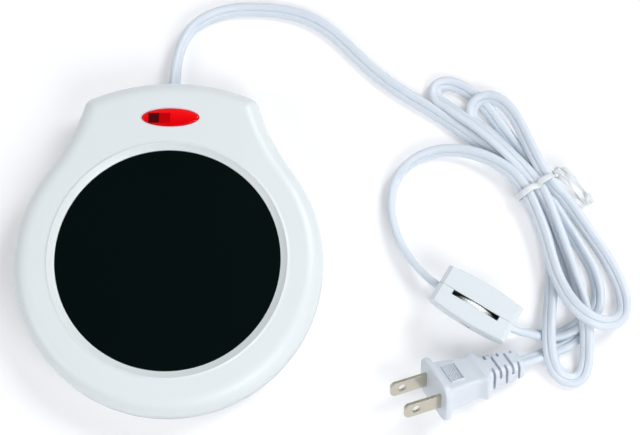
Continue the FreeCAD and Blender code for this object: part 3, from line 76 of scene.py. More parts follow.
def mixed(tree, factor, colour, shade):
    """A mix of two hex colours by a factor."""
    tint = add(tree, "ShaderNodeMix", {"data_type": "RGBA"}, {"Factor": factor})
    tint.inputs[FIRST_COLOUR].default_value = srgb(colour)
    tint.inputs[SECOND_COLOUR].default_value = srgb(shade)
    return tint


def moulded(name, colour, shade, roughness, grain_mm, bump=0.1, soft=0.0, ior=1.5):
    """A moulded plastic or rubber: two near colours in slow clouds, and a fine skin from the mould."""
    mat, tree = material(name)
    where = add(tree, "ShaderNodeTexCoord")
    cloud = add(tree, "ShaderNodeTexNoise", {"Scale": 1 / (CLOUD_MM * MM), "Detail": 2.0},
                {"Vector": where.outputs["Object"]})
    tint = mixed(tree, cloud.outputs["Fac"], colour, shade)
    skin = add(tree, "ShaderNodeTexNoise", {"Scale": 1 / (grain_mm * MM), "Detail": 3.0},
               {"Vector": where.outputs["Object"]})
    dents = add(tree, "ShaderNodeBump", {"Strength": bump, "Distance": 0.05 * MM},
                {"Height": skin.outputs["Fac"]})
    gloss = add(tree, "ShaderNodeMapRange", {"To Min": roughness - 0.04, "To Max": roughness + 0.05},
                {"Value": skin.outputs["Fac"]})
    body = add(tree, "ShaderNodeBsdfPrincipled",
               {"IOR": ior, "Subsurface Weight": soft, "Subsurface Scale": 1.0 * MM,
                "Subsurface Radius": (1.0, 1.0, 1.0)},
               {"Base Color": tint.outputs[MIXED_COLOUR], "Roughness": gloss.outputs[0],
                "Normal": dents.outputs["Normal"]})
    add(tree, "ShaderNodeOutputMaterial", None, {"Surface": body.outputs[0]})
    return mat


def metal(name, colour, shade, roughness, stroke_mm):
    """A metal in two near colours, with fine strokes from stamping, turning or brushing."""
    mat, tree = material(name)
    where = add(tree, "ShaderNodeTexCoord")
    stretch = add(tree, "ShaderNodeMapping", {"Scale": (1, STROKE_SQUEEZE, STROKE_SQUEEZE)},
                  {"Vector": where.outputs["Object"]})
    strokes = add(tree, "ShaderNodeTexNoise",
                  {"Scale": 1 / (stroke_mm * STROKE_LENGTH * MM), "Detail": 4.0},
                  {"Vector": stretch.outputs["Vector"]})
    tint = mixed(tree, strokes.outputs["Fac"], colour, shade)
    gloss = add(tree, "ShaderNodeMapRange", {"To Min": roughness - 0.08, "To Max": roughness + 0.1},
                {"Value": strokes.outputs["Fac"]})
    dents = add(tree, "ShaderNodeBump", {"Strength": 0.15, "Distance": 0.02 * MM},
                {"Height": strokes.outputs["Fac"]})
    body = add(tree, "ShaderNodeBsdfPrincipled", {"Metallic": 1.0},
               {"Base Color": tint.outputs[MIXED_COLOUR], "Roughness": gloss.outputs[0],
                "Normal": dents.outputs["Normal"]})
    add(tree, "ShaderNodeOutputMaterial", None, {"Surface": body.outputs[0]})
    return mat


# Moulded ABS of the case: cool white, semi-gloss, with a fine even skin
case_abs = moulded("abs_case_moulded", "#E5EAEB", "#E0E7E9", 0.38, 0.35, 0.06, soft=0.05)
# Moulded ABS of the bottom cover and the cord clamp: a greyer and duller white
cover_abs = moulded("abs_cover_moulded", "#DDE2E6", "#D8DEE2", 0.5, 0.45, 0.2)
# Baked enamel on aluminium: near black with a green cast, satin and even
enamel = moulded("enamel_plate_baked", "#010C0C", "#000A0B", 0.45, 0.3, 0.12, ior=1.14)
# Extruded PVC of the flat cord: bluish white, soft gloss, a little light passes into it
cord_pvc = moulded("pvc_cord_extruded", "#DCE4EC", "#D6DEE8", 0.36, 0.8, 0.05, soft=0.25)
# Moulded PVC of the plug: softer and a little duller than the cord
plug_pvc = moulded("pvc_plug_moulded", "#DDE3EA", "#D6DCE4", 0.42, 0.4, 0.12, soft=0.2)
# Moulded ABS of the switch: greenish white, smoother than the case
switch_abs = moulded("abs_switch_moulded", "#DEE6E9", "#DBE3E8", 0.32, 0.5, 0.05, soft=0.05)
# Moulded nylon of the thumb wheel: warm white, satin
wheel_nylon = moulded("nylon_wheel_moulded", "#FAFAF8", "#F1F2F0", 0.45, 0.4, 0.1)
# Moulded rubber of the feet: light grey, matt, with a coarse skin
foot_rubber = moulded("rubber_feet_moulded", "#CFD2D4", "#C8CBCE", 0.7, 0.3, 0.3)
# Edge of the lens's seat: a painted red glow, where the red light of the lens shines into the white
lens_glow_edge = moulded("abs_seat_painted_red_glow", "#F4CBD2", "#F0C4CC", 0.4, 0.4, 0.05)
# Polyethylene ribbon of the tie: cool white, soft gloss, a little light passes into it
tie_pe = moulded("polyethylene_tie_ribbon", "#E6EAEC", "#D8DEE0", 0.35, 0.6, 0.2, soft=0.1)
# Extruded PVC of the leads inside: ivory, soft gloss
lead_pvc = moulded("pvc_leads_extruded", "#E2E2DC", "#DADAD4", 0.4, 0.5, 0.05)
# Pressed mica of the heater: brown, semi-gloss, with a flaky skin
mica = moulded("mica_sheet_pressed", "#BFAE86", "#A9976F", 0.35, 1.5, 0.3)
# Woven glass of the sleeves: near black, matt, with a coarse skin
glass_cloth = moulded("glass_sleeve_woven", "#1B1B1D", "#26262A", 0.75, 0.5, 0.6)
# Felted ceramic fibre of the pad: cream, quite matt, with a rough skin
fibre = moulded("ceramic_fibre_felted", "#E4E1D6", "#DAD6C8", 0.95, 0.8, 0.8)
# Dipped lacquer of the resistor and the lamp: tan, glossy
lacquer = moulded("lacquer_resistor_dipped", "#C9B48A", "#BFA97C", 0.3, 0.5, 0.05)
# Zinc plated steel of screws, studs and plates: neutral grey with a soft shine
zinc = metal("steel_zinc_plated", "#BDBEBA", "#A9ABA8", 0.32, 0.2)
# Nickel plated brass of the blades: warm grey, shinier
nickel = metal("brass_blade_nickel_plated", "#CFCABC", "#B8B3A4", 0.26, 0.15)
# Stamped brass of the contacts: yellow
brass = metal("brass_stamped", "#C9A560", "#B8934E", 0.3, 0.2)
# Tinned copper of the crimps, and the case of the fuse: pale grey, duller
tin = metal("copper_crimp_tinned", "#C3C5C6", "#B0B3B5", 0.35, 0.2)
# Rolled resistance alloy of the heating ribbon: dark grey with a brown cast
ribbon_alloy = metal("resistance_alloy_rolled", "#958F85", "#7F796F", 0.4, 0.2)


# Where the lens's painted shade turns from its deeper red at the front to its lighter red at the rear, in
# millimetres
RED_FRONT, RED_REAR = 47.5, 53.5
# What shows through the lens: middle and half its reach from front to rear, and for the lamp's end and
# the dark sleeve middle and half the reach across, with the colour
SHOWN_MIDDLE, SHOWN_HALF = 50.35, 2.0
SHOWN_THROUGH = [(-2.2, 2.2, "#C00008"), (-6.5, 2.1, "#52060C")]


def lens_plastic():
    """Red acrylic with painted shade, deeper red at the front and lighter at the rear, and with what is seen
    through it: the dark sleeve and, beside it, the end of the lamp.
    """
    mat, tree = material("acrylic_lens_dyed_painted_shade")
    where = add(tree, "ShaderNodeTexCoord")
    axes = add(tree, "ShaderNodeSeparateXYZ", None, {"Vector": where.outputs["Object"]})
    cloud = add(tree, "ShaderNodeTexNoise", {"Scale": 1 / (5 * MM), "Detail": 2.0},
                {"Vector": where.outputs["Object"]})
    # painted shade: the lens's red is deeper towards the front and lighter towards the rear
    front_to_rear_shade = add(tree, "ShaderNodeMapRange", {"From Min": RED_FRONT * MM, "From Max": RED_REAR * MM},
               {"Value": axes.outputs["Y"]})
    tone = mixed(tree, front_to_rear_shade.outputs[0], "#DC0006", "#FB1015")
    inside = add(tree, "ShaderNodeMath",
                 {"operation": "COMPARE", 1: SHOWN_MIDDLE * MM, 2: SHOWN_HALF * MM},
                 {0: axes.outputs["Y"]})
    for middle, half, colour in SHOWN_THROUGH:
        level = add(tree, "ShaderNodeMath", {"operation": "COMPARE", 1: middle * MM, 2: half * MM},
                    {0: axes.outputs["X"]})
        spot = add(tree, "ShaderNodeMath", {"operation": "MULTIPLY"},
                   {0: level.outputs[0], 1: inside.outputs[0]})
        tone = add(tree, "ShaderNodeMix", {"data_type": "RGBA"},
                   {"Factor": spot.outputs[0], FIRST_COLOUR: tone.outputs[MIXED_COLOUR]})
        tone.inputs[SECOND_COLOUR].default_value = srgb(colour)
    dents = add(tree, "ShaderNodeBump", {"Strength": 0.1, "Distance": 0.1 * MM},
                {"Height": cloud.outputs["Fac"]})
    body = add(tree, "ShaderNodeBsdfPrincipled", {"Roughness": 0.14, "IOR": 1.25, "Coat Weight": 0.1},
               {"Base Color": tone.outputs[MIXED_COLOUR], "Normal": dents.outputs["Normal"]})
    add(tree, "ShaderNodeOutputMaterial", None, {"Surface": body.outputs[0]})
    return mat


lens_acrylic = lens_plastic()

DRESS = {
    "bottom_cover": cover_abs, "warming_plate": enamel, "plate_studs": zinc, "stud_nuts": zinc,
    "upper_mica_sheet": mica, "heater_core": mica, "heating_ribbon": ribbon_alloy,
    "lower_mica_sheet": mica, "pressure_plate": zinc, "insulation_pad": fibre, "cover_screws": zinc,
    "rubber_feet": foot_rubber, "clamp_screws": zinc, "cord_clamp": cover_abs,
    "indicator_lens": lens_acrylic, "neon_lamp": lacquer, "lamp_sleeve": glass_cloth,
    "lamp_resistor": lacquer, "live_lead": lead_pvc, "neutral_lead": lead_pvc,
    "crimp_connectors": tin, "lamp_leads": lead_pvc, "fuse_lead": lead_pvc, "heater_lead": lead_pvc,
    "thermal_fuse": tin, "fuse_sleeve": glass_cloth, "upper_housing": case_abs,
    "switch_shell_far": switch_abs, "switch_shell_near": switch_abs, "thumb_wheel": wheel_nylon,
    "wheel_axle": zinc, "wheel_contact": brass, "switch_terminals": brass, "switch_screw": zinc,
    "switch_nut": zinc, "bypass_lead": lead_pvc, "switch_leads": lead_pvc, "plug_body": plug_pvc,
    "plug_blades": nickel, "cord_tie": tie_pe, "warmer_cord_stretch": cord_pvc,
    "warmer_cord_loops": cord_pvc, "warmer_cord_switch_stretch": cord_pvc,
    "plug_cord_switch_stretch": cord_pvc, "plug_cord_loops": cord_pvc, "plug_cord_stretch": cord_pvc,
}
for node, dress in DRESS.items():
    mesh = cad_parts[node].data
    mesh.materials.clear()
    mesh.materials.append(dress)

# Camera: above the front edge, tilted a little back from straight down

camera_data = bpy.data.cameras.new("camera")
camera_data.lens = 94.92
camera_data.sensor_width = 36.0
camera_data.clip_start = 0.01
camera = bpy.data.objects.new("camera", camera_data)
camera.location = (58.77 * MM, -147.85 * MM, 654.95 * MM)
camera.rotation_euler = (math.radians(14), 0, 0)
bpy.context.scene.collection.objects.link(camera)
bpy.context.scene.camera = camera


def made(name, mesh, mat, smooth=True):
    """A new object of a mesh, with its material."""
    obj = bpy.data.objects.new(name, mesh)
    bpy.context.scene.collection.objects.link(obj)
    mesh.materials.append(mat)
    mesh.polygons.foreach_set("use_smooth", [smooth] * len(mesh.polygons))
    return obj


def mesh_of(name, points, faces):
    """A mesh of points in millimetres and of faces that name them by number."""
    mesh = bpy.data.meshes.new(name)
    mesh.from_pydata([Vector(p) * MM for p in points], [], faces)
    mesh.validate()
    return mesh


def kept_mesh(name, form):
    """A form that is finished, as a mesh."""
    mesh = bpy.data.meshes.new(name)
    form.to_mesh(mesh)
    form.free()
    return mesh


def bridge(form, one, other):
    """Join two closed rings of as many corners with four-sided faces."""
    count = len(one)
    for k in range(count):
        form.faces.new((one[k], one[(k + 1) % count], other[(k + 1) % count], other[k]))


def skinned(form, rings):
    """Add rings of points in millimetres to a form, join each with the next, and return their corners."""
    rows = [[form.verts.new(Vector(p) * MM) for p in ring] for ring in rings]
    for one, other in zip(rows, rows[1:]):
        bridge(form, one, other)
    return rows


def face_outward(form):
    """Turn the faces of an open shell so that its highest one looks up."""
    bmesh.ops.recalc_face_normals(form, faces=form.faces)
    if max(form.faces, key=lambda f: f.calc_center_median().z).normal.z < 0:
        bmesh.ops.reverse_faces(form, faces=form.faces)


def full_turn(count):
    """Angles in radians, evenly spaced round a whole turn."""
    return [2 * math.pi * i / count for i in range(count)]


# Cords: control points in millimetres with the cord's lean in degrees, which is above zero where the
# side on the right of its way is raised

WARMER_CORD = [
    (0, 55.5, 6.5, -42), (0, 66, 6.4, -46), (0.3, 75, 5.8, -66), (1.8, 85, 4.9, -74), (5.6, 93.4, 4, -68),
    (11.8, 99, 3.3, -56), (21, 102.4, 2.8, -46), (32, 103.1, 2.5, -38), (43.5, 102.2, 2.4, -34),
    (54.9, 98.9, 2.4, -32), (64, 92.8, 2.4, -32), (71, 85.7, 2.4, -32), (80.4, 76, 2.4, -34),
    (91.3, 67.3, 2.5, -36), (102.5, 60.5, 2.5, -38), (114.3, 52.2, 2.5, -40), (124.5, 44.6, 2.5, -40),
    (131.8, 37.6, 2.5, -42), (137.6, 31, 2.6, -44), (142.6, 24, 2.6, -46), (146.4, 15.6, 2.6, -48),
    (149.2, 5.4, 2.7, -48), (150.4, -4.4, 2.9, -48), (150, -13, 3.6, -46), (149, -20.4, 5.2, -44),
    (148, -27, 7.5, -42), (147.6, -34, 7.8, -40), (148, -40.2, 6.8, -38), (149.4, -45.2, 4.4, -34),
    (152.4, -49, 2.6, -24), (156.6, -50.7, 2, -8), (160.4, -49.2, 2.1, 12), (162.2, -45.2, 3.2, 30),
    (162.6, -40.6, 5, 40), (162.5, -36.4, 7.2, 40), (162.4, -32, 8.8, 36), (162, -25.6, 8.8, 38),
    (161.3, -19.4, 7.4, 52), (159.6, -12.4, 6.6, 62), (157.6, -5, 6.4, 68),
    (155.4, 2, 6.5, 68), (153, 9, 6.7, 66),
    (150.4, 16, 7, 60), (147.6, 23, 7.3, 42), (143.6, 29.4, 7.2, 12), (137.6, 36.8, 6.8, -16),
    (129.2, 45.6, 6, -30), (121.7, 52.2, 5.4, -36), (114, 57.8, 4.6, -38), (109.2, 61.8, 3.7, -38),
    (106, 64, 3.1, -38), (105, 67.4, 2.8, -38), (106.8, 70.4, 2.6, -38), (110.6, 71.1, 2.5, -38),
    (114.8, 69.9, 2.4, -38), (119, 67.4, 2.4, -40),
    (123.2, 64.2, 2.4, -42), (127, 59.6, 2.4, -44), (130.8, 53.8, 2.5, -46), (134.8, 48.2, 2.5, -46),
    (139, 42.2, 2.6, -46), (143, 35.6, 2.8, -46), (147, 28.6, 3, -48), (151, 21, 2.8, -50),
    (155.4, 13.4, 2.7, -52), (159.8, 6.2, 2.7, -55), (163.6, -0.4, 2.8, -58), (166.6, -6.4, 2.8, -58),
    (168.2, -12.4, 2.9, -54), (168.4, -18.6, 3.4, -44), (166.4, -24, 4.7, -24), (162.2, -27.6, 5.1, -12),
    (158, -30, 4.4, -26), (153.6, -32.4, 3, -44), (149.2, -33.2, 2.6, -46), (144.8, -32.8, 3.4, -52),
    (140.2, -32.4, 5.4, -64), (136.6, -32.4, 8, -72), (133.4, -31.4, 9.4, -76), (130.5, -30.05, 9.5, -76),
]
# The plug cord starts at the switch and ends inside the relief
PLUG_CORD = [
    (107.5, -15.95, 9.5, -72), (105, -14.4, 9.4, -72), (101.4, -11.2, 8, -74), (96.8, -6, 5.8, -76),
    (92.4, 0.6, 4.2, -76), (88.8, 8.6, 3.4, -76), (86.8, 18.8, 3.1, -75), (88.2, 29, 3.1, -74),
    (93.2, 36.2, 3.2, -72), (101.3, 41.4, 3.5, -68), (111.6, 42.6, 4.4, -60), (121.4, 40.6, 5.5, -50),
    (129.8, 36.4, 6.3, -43), (135.6, 32, 6.8, -41), (139.6, 26.2, 7.2, -40), (142.4, 20.6, 7.4, -42),
    (145, 13.6, 7.6, -44), (147.4, 6, 7.7, -45), (149.2, -2, 7.9, -45), (151.4, -10.4, 8.6, -42),
    (154.6, -18.2, 10.2, -36), (159, -24.8, 12.4, -26), (165, -29, 12.8, -16), (171.6, -29.6, 10, -4),
    (176.8, -26.4, 6.6, 12), (178.4, -20.4, 4.2, 28), (177.2, -12.8, 3.2, 38), (174, -5, 2.8, 42),
    (169.8, 2.4, 2.7, 44), (165.4, 9, 2.7, 44), (160.8, 16, 3.4, 44), (156.4, 22, 5, 44),
    (151.6, 26.2, 6.8, 44), (148, 31.4, 7.8, 44), (144.6, 38.4, 7.5, 44), (141.4, 46, 7, 44),
    (138.4, 53.2, 6.5, 44), (135.4, 58.6, 6, 44), (131.2, 63, 5.6, 44), (126.4, 64.6, 4.8, 44),
    (122.4, 63.3, 4, 46), (120.1, 60.6, 3.2, 48), (120.1, 57.2, 2.9, 50), (122.4, 54.5, 2.8, 52),
    (126.2, 51.2, 2.8, 52),
    (130.4, 47, 2.8, 50), (135.2, 41.8, 2.8, 42), (139.4, 36.4, 2.8, 26), (142.8, 31, 2.8, 6),
    (145.8, 25, 2.8, -12), (148.4, 18.8, 2.6, -20), (151, 12, 2.4, -22), (153.4, 5, 2.4, -22),
    (155.6, -1, 2.3, -20), (157.6, -6.4, 2.2, -16), (159.6, -12, 2, -12), (161.6, -17.4, 1.8, -8),
    (163.2, -22.6, 1.7, -6), (163.2, -28, 1.7, -6), (160.8, -32.2, 1.8, -12), (156.8, -35.4, 2, -22),
    (152, -38, 2.1, -30), (147, -40, 2.4, -34), (142.4, -41.8, 3.6, -40), (138.4, -43.2, 4.8, -40),
    (133.6, -45.1, 6, -38),
]


# How finely a line is divided for each control point, and the least step between two of its points
STEPS_PER_POINT = 8
LEAST_STEP = 0.2


def smooth_line(points):
    """Points along the NURBS line whose control points are given, by three numbers at a time."""
    data = bpy.data.curves.new("line", "CURVE")
    data.dimensions = "3D"
    data.resolution_u = STEPS_PER_POINT
    spline = data.splines.new("NURBS")
    spline.points.add(len(points) - 1)
    for control, point in zip(spline.points, points):
        control.co = (*point, 1.0)
    spline.order_u = 3
    spline.use_endpoint_u = True
    holder = bpy.data.objects.new("line", data)
    bpy.context.scene.collection.objects.link(holder)
    bpy.context.view_layer.update()
    mesh = bpy.data.meshes.new_from_object(holder)
    found = [v.co.copy() for v in mesh.vertices]
    bpy.data.objects.remove(holder)
    bpy.data.meshes.remove(mesh)
    return found


def line_and_lean(points):
    """The cord's line in metres, and its lean in radians at each point of it."""
    line = smooth_line([Vector(p[:3]) * MM for p in points])
    lean = smooth_line([(math.radians(p[3]), 0.0, 0.0) for p in points])
    kept = [i for i, here in enumerate(line) if i == 0 or (here - line[i - 1]).length > LEAST_STEP * MM]
    return [line[i] for i in kept], [lean[i].x for i in kept]


def swept(name, line, leans, section, mat, across=None):
    """A mesh that carries a section, of (side, up) pairs in metres, along a line."""
    tube = bmesh.new()
    rings = []
    last = len(line) - 1
    for i, (here, lean) in enumerate(zip(line, leans)):
        way = (line[min(i + 1, last)] - line[max(i - 1, 0)]).normalized()
        side = way.cross(Vector((0, 0, 1))).normalized()
        if across:
            side = (across - way * across.dot(way)).normalized()
        up = side.cross(way)
        turn = Matrix.Rotation(-lean, 3, way)
        side, up = turn @ side, turn @ up
        rings.append([tube.verts.new(here + side * a + up * b) for a, b in section])
    for one, other in zip(rings, rings[1:]):
        bridge(tube, one, other)
    tube.faces.new(rings[0][::-1])
    tube.faces.new(rings[-1])
    bmesh.ops.recalc_face_normals(tube, faces=tube.faces)
    return made(name, kept_mesh(name, tube), mat)


CORD_WIDTH, CORD_THICK = 5.9, 3.0
SIDE_STEPS = 10


def twin_section(width, thick):
    """A flat twin cord's section: round sides, nearly flat faces, and a narrow groove in the middle."""
    high, reach = thick / 2, (width - thick) / 2
    groove = [(0.0, high - 0.62), (0.13, high - 0.3), (0.32, high - 0.1), (0.6, high - 0.02), (1.0, high)]
    sides = [(reach + high * math.cos(a), high * math.sin(a))
             for a in [math.pi / 2 - math.pi * k / SIDE_STEPS for k in range(1, SIDE_STEPS)]]
    right = groove + sides + [(x, -y) for x, y in groove[::-1]]
    left = [(-x, -y) for x, y in groove[1:]] + [(-x, -y) for x, y in sides]
    left += [(-x, y) for x, y in groove[:0:-1]]
    return [(x * MM, y * MM) for x, y in right + left]


SECTION = twin_section(CORD_WIDTH, CORD_THICK)
cords = {}
for name, points in (("warmer_cord", WARMER_CORD), ("plug_cord", PLUG_CORD)):
    line, leans = line_and_lean(points)
    cords[name] = (swept(name, line, leans, SECTION, cord_pvc), line)
    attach(cords[name][0], "warmer")
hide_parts("warmer_cord_stretch", "warmer_cord_loops", "warmer_cord_switch_stretch")
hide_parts("plug_cord_switch_stretch", "plug_cord_loops", "plug_cord_stretch")


def own(piece, body, slot, *nodes):
    """Let a new piece ride a body, in place of the CAD nodes it stands for. The slot argument is not used.
    """
    piece.data.transform(piece.matrix_world)
    piece.matrix_world = Matrix.Identity(4)
    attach(piece, body)
    if nodes:
        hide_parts(*nodes)
    return piece


def lofted(name, rings, mat, caps=(True, True)):
    """A skin over rings of points in millimetres, each ring with as many points as the others."""
    skin = bmesh.new()
    rows = skinned(skin, rings)
    if caps[0]:
        skin.faces.new(rows[0][::-1])
    if caps[1]:
        skin.faces.new(rows[-1])
    bmesh.ops.recalc_face_normals(skin, faces=skin.faces)
    return made(name, kept_mesh(name, skin), mat)


# An edge is rounded where its faces turn by more than this, in degrees
SHARP_FROM = 34
# Corners of a CAD piece's triangles that are nearer than this are one, in millimetres
WELD = 0.002


def worked(obj, bevel=0.0, wall=0.0, cutter=None, segments=3):
    """Cut, thicken and round a piece, then keep the result as its own mesh."""
    if cutter:
        cut = obj.modifiers.new("cut", "BOOLEAN")
        cut.operation = "DIFFERENCE"
        cut.solver = "EXACT"
        cut.object = cutter
    if wall:
        thick = obj.modifiers.new("wall", "SOLIDIFY")
        thick.thickness = wall * MM
        thick.offset = -1.0
    if bevel:
        rounding = obj.modifiers.new("rounding", "BEVEL")
        rounding.width = bevel * MM
        rounding.segments = segments
        rounding.limit_method = "ANGLE"
        rounding.angle_limit = math.radians(SHARP_FROM)
        rounding.harden_normals = True
    bpy.context.view_layer.update()
    graph = bpy.context.evaluated_depsgraph_get()
    mesh = bpy.data.meshes.new_from_object(obj.evaluated_get(graph))
    obj.modifiers.clear()
    obj.data = mesh
    if cutter:
        bpy.data.objects.remove(cutter)
    return obj


def softened(node, body, slot, width):
    """A CAD piece's own form with its sharp edges rounded, shown in place of it."""
    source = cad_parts[node]
    form = bmesh.new()
    form.from_mesh(source.data)
    bmesh.ops.remove_doubles(form, verts=form.verts, dist=WELD * MM)
    bmesh.ops.dissolve_limit(form, angle_limit=math.radians(1), verts=form.verts, edges=form.edges)
    piece = made(node + "_rounded", kept_mesh(node + "_rounded", form), DRESS[node])
    piece.matrix_world = source.matrix_world
    return own(worked(piece, bevel=width), body, slot, node)


def arc(centre, radius, start, end, steps):
    """Points along a circle between two angles in degrees."""
    angles = [math.radians(start + (end - start) * i / steps) for i in range(steps + 1)]
    return [(centre[0] + radius * math.cos(a), centre[1] + radius * math.sin(a)) for a in angles]


def ring_of(centre, half_length, half_width, z, count=96):
    """A level oval of points."""
    return [(centre[0] + half_length * math.cos(a), centre[1] + half_width * math.sin(a), z)
            for a in full_turn(count)]


# Case top: a disc that runs into a narrower rear end, with a rounded shoulder all round

# Centres and radii of the arcs in its outline: the round front, the hollow neck and the rear edge
DISC, DISC_RADIUS = Vector((0, -6.2)), 60
NECK, NECK_RADIUS = Vector((113.4, 79.26)), 82
REAR, REAR_RADIUS = Vector((0, -15.6)), 81.8
REAR_CORNER, CORNER_TIGHTENING = 4.6, 0.55
# Heights of its wall's foot, its shoulder's foot and its flat top, and how far the shoulder goes in
WALL_FOOT, SHOULDER_FOOT, FLAT_TOP = 8.15, 15.2, 21.7
SHOULDER, FLAT_FROM = 6.5, 6.9
CASE_WALL = 1.4
# The lens's middle, and half its length and width
LENS, LENS_LONG, LENS_WIDE = (0, 50.6), 11.1, 3.5
# Profiles as (radius, height) round the plate, and as (distance outside the lens's edge, height)
BEAD = [(47.4, 21.7), (46.8, 21.7), (46.65, 21.9), (46.35, 22.0), (46.1, 21.88), (45.95, 21.6),
        (43.75, 20.95), (43.62, 20.8), (43.62, 19.2)]
SEAT = [(0.75, 21.7), (0.45, 21.68), (0.25, 21.5), (0.2, 19.9)]
DOME = [(0.0, 19.9), (0.0, 21.45), (-0.12, 21.66), (-0.45, 21.78), (-1.4, 21.9), (-2.4, 21.97),
        (-3.2, 22.0)]
# HALO is the thin ring round the lens that carries the painted red glow
HALO = [(0.2, 21.4), (0.24, 21.62), (0.42, 21.73), (0.68, 21.72), (0.72, 21.66)]


def case_outline(inset, z):
    """The case's outline moved inward, with the rear corners tightened as it goes in."""
    corner = REAR_CORNER - CORNER_TIGHTENING * inset
    apart = NECK - REAR
    near, far = REAR_RADIUS - inset - corner, NECK_RADIUS + inset + corner
    along = (near ** 2 - far ** 2 + apart.length ** 2) / (2 * apart.length)
    aside = math.sqrt(near ** 2 - along ** 2)
    one = apart.normalized()
    turn = REAR + one * along + Vector((-one.y, one.x)) * aside
    facing = [math.degrees(math.atan2(v.y, v.x)) for v in (turn - NECK, NECK - turn, turn - REAR)]
    neck_end = facing[0] - 360 if facing[0] > 0 else facing[0]
    half = arc(DISC, DISC_RADIUS - inset, -90, 37, 44)
    half += arc(NECK, NECK_RADIUS + inset, -143, neck_end, 14)[1:]
    half += arc(turn, corner, facing[1], facing[2], 8)[1:]
    half += arc(REAR, REAR_RADIUS - inset, facing[2], 90, 14)[1:]
    return [(x, y, z) for x, y in half] + [(-x, y, z) for x, y in half[-2:0:-1]]


def lens_rings(profile):
    """Ovals round the lens's middle, from a profile of (distance outside its edge, height)."""
    return [ring_of(LENS, LENS_LONG + e, LENS_WIDE + e, z) for e, z in profile]


def case_top():
    """The case's wall, shoulder and flat top, with the bead round the plate and the lens's seat."""
    rows = [(0, WALL_FOOT), (0, SHOULDER_FOOT)]
    for degrees in range(10, 91, 10):
        a = math.radians(degrees)
        rows.append((SHOULDER * (1 - math.cos(a)), SHOULDER_FOOT + SHOULDER * math.sin(a)))
    rows.append((FLAT_FROM, FLAT_TOP))
    skin = bmesh.new()
    outer = skinned(skin, [case_outline(inset, z) for inset, z in rows])[-1]
    ring = skinned(skin, [ring_of(DISC, r, r, z, 128) for r, z in BEAD])[0]
    window = skinned(skin, lens_rings(SEAT))[0]
    border = set()
    for loop in (outer, ring, window):
        for k, vert in enumerate(loop):
            border.add(skin.edges.get((vert, loop[(k + 1) % len(loop)])))
    bmesh.ops.triangle_fill(skin, use_beauty=True, edges=list(border))
    face_outward(skin)
    piece = worked(made("case_top", kept_mesh("case_top", skin), case_abs), wall=CASE_WALL)
    return own(piece, "warmer", "housing_white", "upper_housing")


case_top()
own(lofted("lens_dome", lens_rings(DOME), lens_acrylic), "warmer", "lens_red", "indicator_lens")
# A thin ring round the lens, coloured with the painted red glow on the seat
own(lofted("lens_glow_edge", lens_rings(HALO), lens_glow_edge, (False, False)), "warmer", "lens_red")
softened("bottom_cover", "warmer", "cover_white", 0.3)

# Switch: two drafted half shells with barrel sides, ends bevelled at the top, and a slot for the wheel

SWITCH = Matrix.Translation(Vector((119.0, -23.0, 0)) * MM) @ Matrix.Rotation(math.radians(-31.5), 4, "Z")
# Rows of a half's wall from its foot up: height, how far it is drawn in sideways, and half its length
SWITCH_ROWS = [(0.0, 2.7, 15.0), (0.5, 2.2, 15.5), (4.0, 1.4, 16.0), (7.0, 1.0, 16.2), (10.0, 0.75, 16.3),
               (16.8, 0.1, 16.5), (17.5, 0.0, 16.5), (18.2, 0.06, 15.8), (18.75, 0.25, 15.1),
               (19.0, 0.6, 14.8)]
SWITCH_TOP, AXLE_HEIGHT = 19.0, 9.5
# Half the switch's width, the radius of its barrel sides, and half the gap on its middle plane
HALF_WIDTH, BARREL_RADIUS, HALF_GAP = 8.85, 114, 0.05
BARREL_STEPS = 12
SWITCH_WALL = 1.3
# Half the length of the wheel's slot, and how far it reaches from the middle plane
SLOT_LONG, SLOT_REACH = 10.1, 2.05
# The sink for a fastener's end, as pairs of (radius, depth)
SINK = [(2.9, 4.0), (2.9, 12.0)]


def turned(profile, side, sides):
    """Rings about the switch's axle from pairs of (radius, depth), on the side given as 1 or -1."""
    return [[(r * math.cos(a), side * y, AXLE_HEIGHT + r * math.sin(a)) for a in full_turn(sides)]
            for r, y in profile]


def switch_half(name, node, side):
    """One half of the switch's case, on the side of its middle plane that is given as 1 or -1."""
    rows = []
    for z, inset, half_length in SWITCH_ROWS:
        row = [(-half_length, HALF_GAP * side, z)]
        for k in range(2 * BARREL_STEPS + 1):
            x = half_length * (k / BARREL_STEPS - 1)
            bulge = math.sqrt(BARREL_RADIUS ** 2 - x * x)
            row.append((x, side * (HALF_WIDTH - inset - BARREL_RADIUS + bulge), z))
        rows.append(row + [(half_length, HALF_GAP * side, z)])
    shell = bmesh.new()
    grid = [[shell.verts.new(Vector(p) * MM) for p in row] for row in rows]
    for one, other in zip(grid, grid[1:]):
        for k in range(len(one) - 1):
            shell.faces.new((one[k], one[k + 1], other[k + 1], other[k]))
    shell.faces.new(grid[0][::-1])
    notch = []
    if side < 0:
        notch = [(SLOT_LONG, HALF_GAP), (SLOT_LONG, SLOT_REACH), (-SLOT_LONG, SLOT_REACH),
                 (-SLOT_LONG, HALF_GAP)]
    shell.faces.new(grid[-1] + [shell.verts.new(Vector((x, side * y, SWITCH_TOP)) * MM) for x, y in notch])
    face_outward(shell)
    half = made(name, kept_mesh(name, shell), switch_abs)
    half.matrix_world = SWITCH
    half = worked(half, wall=SWITCH_WALL)
    sink = lofted(name + "_sink", turned(SINK, side, 32), switch_abs)
    sink.matrix_world = SWITCH
    return own(worked(half, cutter=sink, bevel=0.22), "warmer", "switch_white", node)


switch_halves = [switch_half("switch_far_half", "switch_shell_far", 1),
                 switch_half("switch_near_half", "switch_shell_near", -1)]


def sunk_end(name, node, side, profile, sides):
    """One end of the switch's fastener, turned to a profile of (radius, depth) and sunk below the wall."""
    piece = lofted(name, turned(profile, side, sides), zinc)
    piece.matrix_world = SWITCH
    return own(piece, "warmer", "steel", node)


